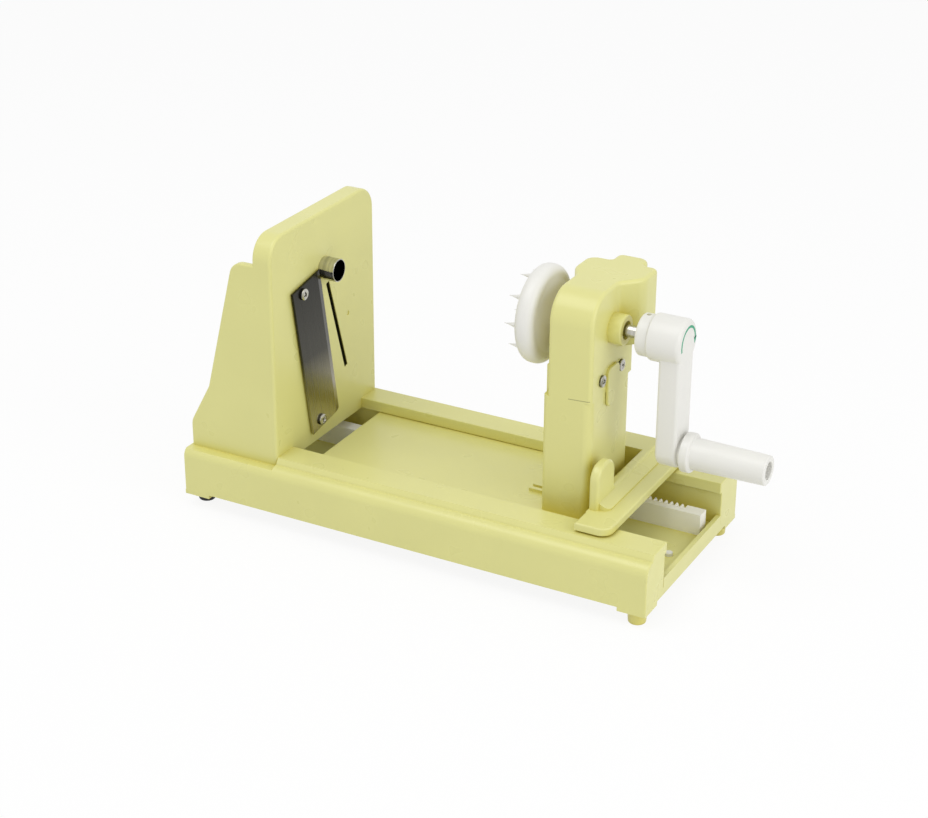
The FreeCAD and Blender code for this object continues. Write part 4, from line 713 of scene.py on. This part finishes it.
class BuildTube(bpy.types.Operator):
    """Turns the coring tube, a thin steel wall with rounded lips."""

    bl_idname = "spiralizer.build_tube"
    bl_label = "Coring tube"

    def execute(self, context):
        lip = context.scene.spiralizer_sizes.tube_lip
        low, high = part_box("coring_tube")
        outside, wall = reach("coring_tube", 2), 0.0007
        inside = outside - wall
        corners = [(low[0], inside, lip), (low[0], outside, lip), (high[0], outside, lip),
                   (high[0], inside, lip)]
        make_piece("turned_tube", turned(rounded_line(corners), (0, 0, SHAFT_HEIGHT), ring=True),
                   "base", self.tube_steel(inside), ["coring_tube"])
        return {"FINISHED"}

    def tube_steel(self, inside):
        """Bright steel outside, with painted shade that makes the bore almost black."""
        given, margin = bpy.context.scene.spiralizer_finishes, 0.00012
        material, shader, net = new_material("tube steel", metallic=1.0)
        group = place_group(net, "Worked steel", build_brushed_group, Colour=(*given.steel, 1),
                            Stretch=(420, 30, 30), Contrast=0.4, Roughness=0.14)
        axes = net.add("SeparateXYZ", Vector=net.add("TexCoord").outputs["Object"]).outputs
        lifted = net.sum("SUBTRACT", axes["Z"], SHAFT_HEIGHT)
        away = net.sum("SQRT", net.sum("ADD", net.sum("POWER", axes["Y"], 2.0),
                                       net.sum("POWER", lifted, 2.0)))
        # Painted shade inside the bore
        bore = net.sum("LESS_THAN", away, inside + margin)
        net.join(shader.inputs["Base Color"],
                 net.blend(bore, group.outputs["Colour"], shade_of(given.steel, 0.03)))
        finish_surface(net, shader, group, 0.06, STREAK_DEPTH)
        return material


class BuildScrews(bpy.types.Operator):
    """Turns the visible screws, with crowned heads and cross recesses."""

    bl_idname = "spiralizer.build_screws"
    bl_label = "Cross-head screws"

    def execute(self, context):
        given = context.scene.spiralizer_sizes
        material = self.screw_steel(context.scene.spiralizer_finishes)
        small, large = (SCREW_HEAD_RADIUS, 0.0024), (0.0042, 0.003)
        for node, body, (radius, rise), spots in (
                ("blade_screws", "base", small, self.pair("blade_screws")),
                ("head_screws", "carriage", small, self.pair("head_screws")),
                ("handle_screw", "crank", large, [(0.0, GRIP_HEIGHT)])):
            low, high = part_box(node)
            heads = [self.screw(high[0], low[0], radius, rise, given.screw_dome, spot, 20 + 37 * index)
                     for index, spot in enumerate(spots)]
            piece = make_piece(node.replace("screw", "cross_screw"), joined(*heads), body,
                               material, [node])
            self.shade(piece)
        return {"FINISHED"}

    def pair(self, node):
        """The middles, in Y and Z, of a node's two screws: each is set in from a corner of its box."""
        low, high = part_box(node)
        edge = SCREW_HEAD_RADIUS
        if node == "head_screws":
            return [(low[1] + edge, low[2] + edge), (high[1] - edge, low[2] + edge)]
        return [(low[1] + edge, high[2] - edge), (high[1] - edge, low[2] + edge)]

    def screw(self, top, tip, radius, rise, dome, spot, turn):
        """A crowned head on a shank, its crown lowered inside a cross.

        Height on the crown = top - dome * part^2 - depth * cross. Part goes from 0 in the middle to 1
        at the crown's edge. Cross is 1 inside either bar and falls to 0 at its sides and ends. The bars
        are about 1.2 mm wide.
        """
        count, rings, shank = 96, 30, 0.002
        part = np.linspace(0, 1, rings) ** 0.8
        angle = np.linspace(0, 2 * np.pi, count, endpoint=False)
        crown = part[:, None] * radius * 0.94 + 0 * angle
        across, along = crown * np.cos(angle), crown * np.sin(angle)
        half_bar, half_length, depth = 0.00058, radius * 0.56, rise * 0.55
        soft_side, soft_end = 0.00018, 0.0007

        def bar(sideways, lengthways):
            inside = np.clip((half_bar - np.abs(sideways)) / soft_side + 0.5, 0, 1)
            return inside * np.clip((half_length - np.abs(lengthways)) / soft_end, 0, 1)

        cross = np.maximum(bar(across, along), bar(along, across))
        place = top - dome * part[:, None] ** 2 - cross * depth
        seat = top - rise
        rim = rounded_line([(top - dome, radius * 0.94, 0), (top - dome, radius, 0.0004),
                            (seat, radius, 0.0002), (seat, shank, 0), (tip, shank, 0.0004),
                            (tip, 0, 0)])[1:]
        column = np.concatenate([place, np.repeat(rim[:, :1], count, 1)])
        away = np.concatenate([crown, np.repeat(rim[:, 1:], count, 1)])
        points = np.zeros(column.shape + (3,))
        swing = angle + math.radians(turn)
        points[..., 0] = column
        points[..., 1] = spot[0] + away * np.cos(swing)
        points[..., 2] = spot[1] + away * np.sin(swing)
        return points.reshape(-1, 3), grid_faces(len(column), count)

    def shade(self, piece):
        """Writes how far each point lies under the crown, for the painted shade of the recess."""
        crown, fall = 0.0008, 0.0006
        mesh = piece.data
        places = np.zeros(len(mesh.vertices) * 3, np.float32)
        mesh.vertices.foreach_get("co", places)
        along = places.reshape(-1, 3)[:, 0]
        depth = np.clip((along.max() - crown - along) / fall, 0, 1)
        mesh.attributes.new("sunk", "FLOAT", "POINT").data.foreach_set("value", depth.astype(np.float32))

    def screw_steel(self, given):
        """Bright steel that darkens with the depth of the recess, as painted shade."""
        material, shader, net = new_material("screw steel", metallic=1.0)
        group = place_group(net, "Worked steel", build_brushed_group, Colour=(*given.steel, 1),
                            Stretch=(300, 300, 300), Contrast=0.12, Roughness=0.26)
        # Painted shade: the cross recess darkens with its depth
        sunk = net.add("Attribute", {"attribute_name": "sunk"}).outputs["Fac"]
        net.join(shader.inputs["Base Color"],
                 net.blend(sunk, group.outputs["Colour"], shade_of(given.steel, 0.12)))
        finish_surface(net, shader, group, 0.1, STREAK_DEPTH)
        return material


class BuildFeet(bpy.types.Operator):
    """Turns the four feet with rounded soles."""

    bl_idname = "spiralizer.build_feet"
    bl_label = "Feet"

    def execute(self, context):
        given = context.scene.spiralizer_sizes
        for node, material, slot in (("left_feet", rubber(), "black_rubber"),
                                     ("right_feet", body_plastic(), "body_plastic")):
            low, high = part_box(node)
            radius, taper, stud, top = reach(node, 0), 0.0006, 0.002, low[2] + 0.0092
            corners = [(low[2], 0, 0), (low[2], radius - taper, given.foot_round),
                       (top, radius, 0.0003), (top, stud, 0), (high[2], stud, 0), (high[2], 0, 0)]
            places = [(middle(node, 0), low[1] + radius, 0), (middle(node, 0), high[1] - radius, 0)]
            foot = turned(rounded_line(corners), (0, 0, 0), axis=2, count=64)
            make_piece("turned_" + node, repeated(foot, places), "base", material, [node])
        return {"FINISHED"}


class BuildStage(bpy.types.Operator):
    """Sets the floor, the room's light, the lamps and the camera."""

    bl_idname = "spiralizer.build_stage"
    bl_label = "Floor, light and camera"

    def execute(self, context):
        given = context.scene.spiralizer_stage
        self.floor()
        self.room(given.world)
        self.lamp("key lamp", given.key, 0.9, (-0.25, -0.45, 1.3), (0, 0, 0.05))
        self.lamp("fill lamp", given.fill, 1.0, (1.3, -0.25, 0.7), (0.05, 0, 0.08))
        self.camera(given.focal)
        context.scene.view_settings.view_transform = "Standard"
        return {"FINISHED"}

    def bright_rays(self, net):
        """1 for rays from the camera, from gloss and through glass, which see the plain background."""
        ray = net.add("LightPath").outputs
        return net.sum("MAXIMUM", ray["Is Camera Ray"],
                       net.sum("MAXIMUM", ray["Is Glossy Ray"], ray["Is Transmission Ray"]))

    def floor(self):
        """A wide plane at the feet's soles: white to the camera, and it keeps the shadow."""
        half, glow_share = 6, 0.9
        mesh = bpy.data.meshes.new("floor")
        mesh.from_pydata([(-half, -half, 0), (half, -half, 0), (half, half, 0), (-half, half, 0)], [],
                         [(0, 1, 2, 3)])
        ground = bpy.data.objects.new("floor", mesh)
        bpy.context.scene.collection.objects.link(ground)
        material = bpy.data.materials.new("white floor")
        material.use_nodes = True
        tree = material.node_tree
        tree.nodes.clear()
        net = Wiring(tree)
        plain = net.add("BsdfDiffuse", Color=(0.95, 0.95, 0.95, 1))
        glow = net.add("Emission", Color=(1, 1, 1, 1), Strength=1.0)
        both = net.add("MixShader", Fac=net.sum("MULTIPLY", self.bright_rays(net), glow_share))
        net.join(both.inputs[1], plain.outputs[0])
        net.join(both.inputs[2], glow.outputs[0])
        net.add("OutputMaterial", Surface=both.outputs[0])
        mesh.materials.append(material)

    def room(self, strength):
        """Even light from all round, and white where the camera or gloss sees it."""
        world = bpy.data.worlds.new("white room")
        bpy.context.scene.world = world
        world.use_nodes = True
        world.node_tree.nodes.clear()
        net = Wiring(world.node_tree)
        bright = net.sum("ADD", strength, net.sum("MULTIPLY", self.bright_rays(net), 1.0 - strength))
        light = net.add("Background", Color=(1, 1, 1, 1), Strength=bright)
        net.add("OutputWorld", Surface=light.outputs[0])

    def lamp(self, name, power, width, place, aim):
        """A square lamp at a place, aimed at a point."""
        data = bpy.data.lights.new(name, "AREA")
        data.energy = power
        data.size = width
        lamp = bpy.data.objects.new(name, data)
        bpy.context.scene.collection.objects.link(lamp)
        lamp.location = place
        away = np.array(place) - np.array(aim)
        pitch = math.atan2(math.hypot(away[0], away[1]), away[2])
        lamp.rotation_euler = (pitch, 0, math.atan2(away[0], -away[1]))

    def camera(self, focal):
        """The camera of the photograph's view."""
        pitch, heading = math.pi / 2 - 0.435, 0.504
        data = bpy.data.cameras.new("camera")
        data.lens = focal
        data.sensor_width = 36
        data.sensor_fit = "HORIZONTAL"
        data.shift_x, data.shift_y = 0.0193, -0.0181
        data.clip_start, data.clip_end = 0.05, 30
        camera = bpy.data.objects.new("camera", data)
        bpy.context.scene.collection.objects.link(camera)
        camera.location = (0.55975, -1.0724, 0.66)
        camera.rotation_euler = (pitch, 0, heading)
        bpy.context.scene.camera = camera


STEPS = [DressMouldings, DressWhiteParts, DressSteel, BuildWheel, BuildCrank, BuildArrow, BuildGrip,
         BuildTube, BuildScrews, BuildFeet, BuildStage]


class SpiralizerPanel(bpy.types.Panel):
    """Lists the pieces, their sizes and their finishes."""

    bl_idname = "VIEW3D_PT_spiralizer"
    bl_label = "Spiralizer"
    bl_space_type = "VIEW_3D"
    bl_region_type = "UI"
    bl_category = "Spiralizer"

    def draw(self, context):
        for step in STEPS:
            self.layout.operator(step.bl_idname)
        for group in (context.scene.spiralizer_finishes, context.scene.spiralizer_sizes,
                      context.scene.spiralizer_stage):
            box = self.layout.box()
            for name in group.__annotations__:
                box.prop(group, name)


SETTINGS = [("spiralizer_finishes", SpiralizerFinishes), ("spiralizer_sizes", SpiralizerSizes),
            ("spiralizer_stage", SpiralizerStage)]


def register():
    """Registers the settings, the operators and the panel."""
    for name, kind in SETTINGS:
        bpy.utils.register_class(kind)
        setattr(bpy.types.Scene, name, bpy.props.PointerProperty(type=kind))
    for kind in STEPS + [SpiralizerPanel]:
        bpy.utils.register_class(kind)


def unregister():
    """Takes the classes and settings away again."""
    for kind in reversed(STEPS + [SpiralizerPanel]):
        bpy.utils.unregister_class(kind)
    for name, kind in reversed(SETTINGS):
        delattr(bpy.types.Scene, name)
        bpy.utils.unregister_class(kind)


def main():
    """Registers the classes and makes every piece."""
    register()
    for step in STEPS:
        family, name = step.bl_idname.split(".")
        getattr(getattr(bpy.ops, family), name)()


if __name__ == "__main__":
    main()
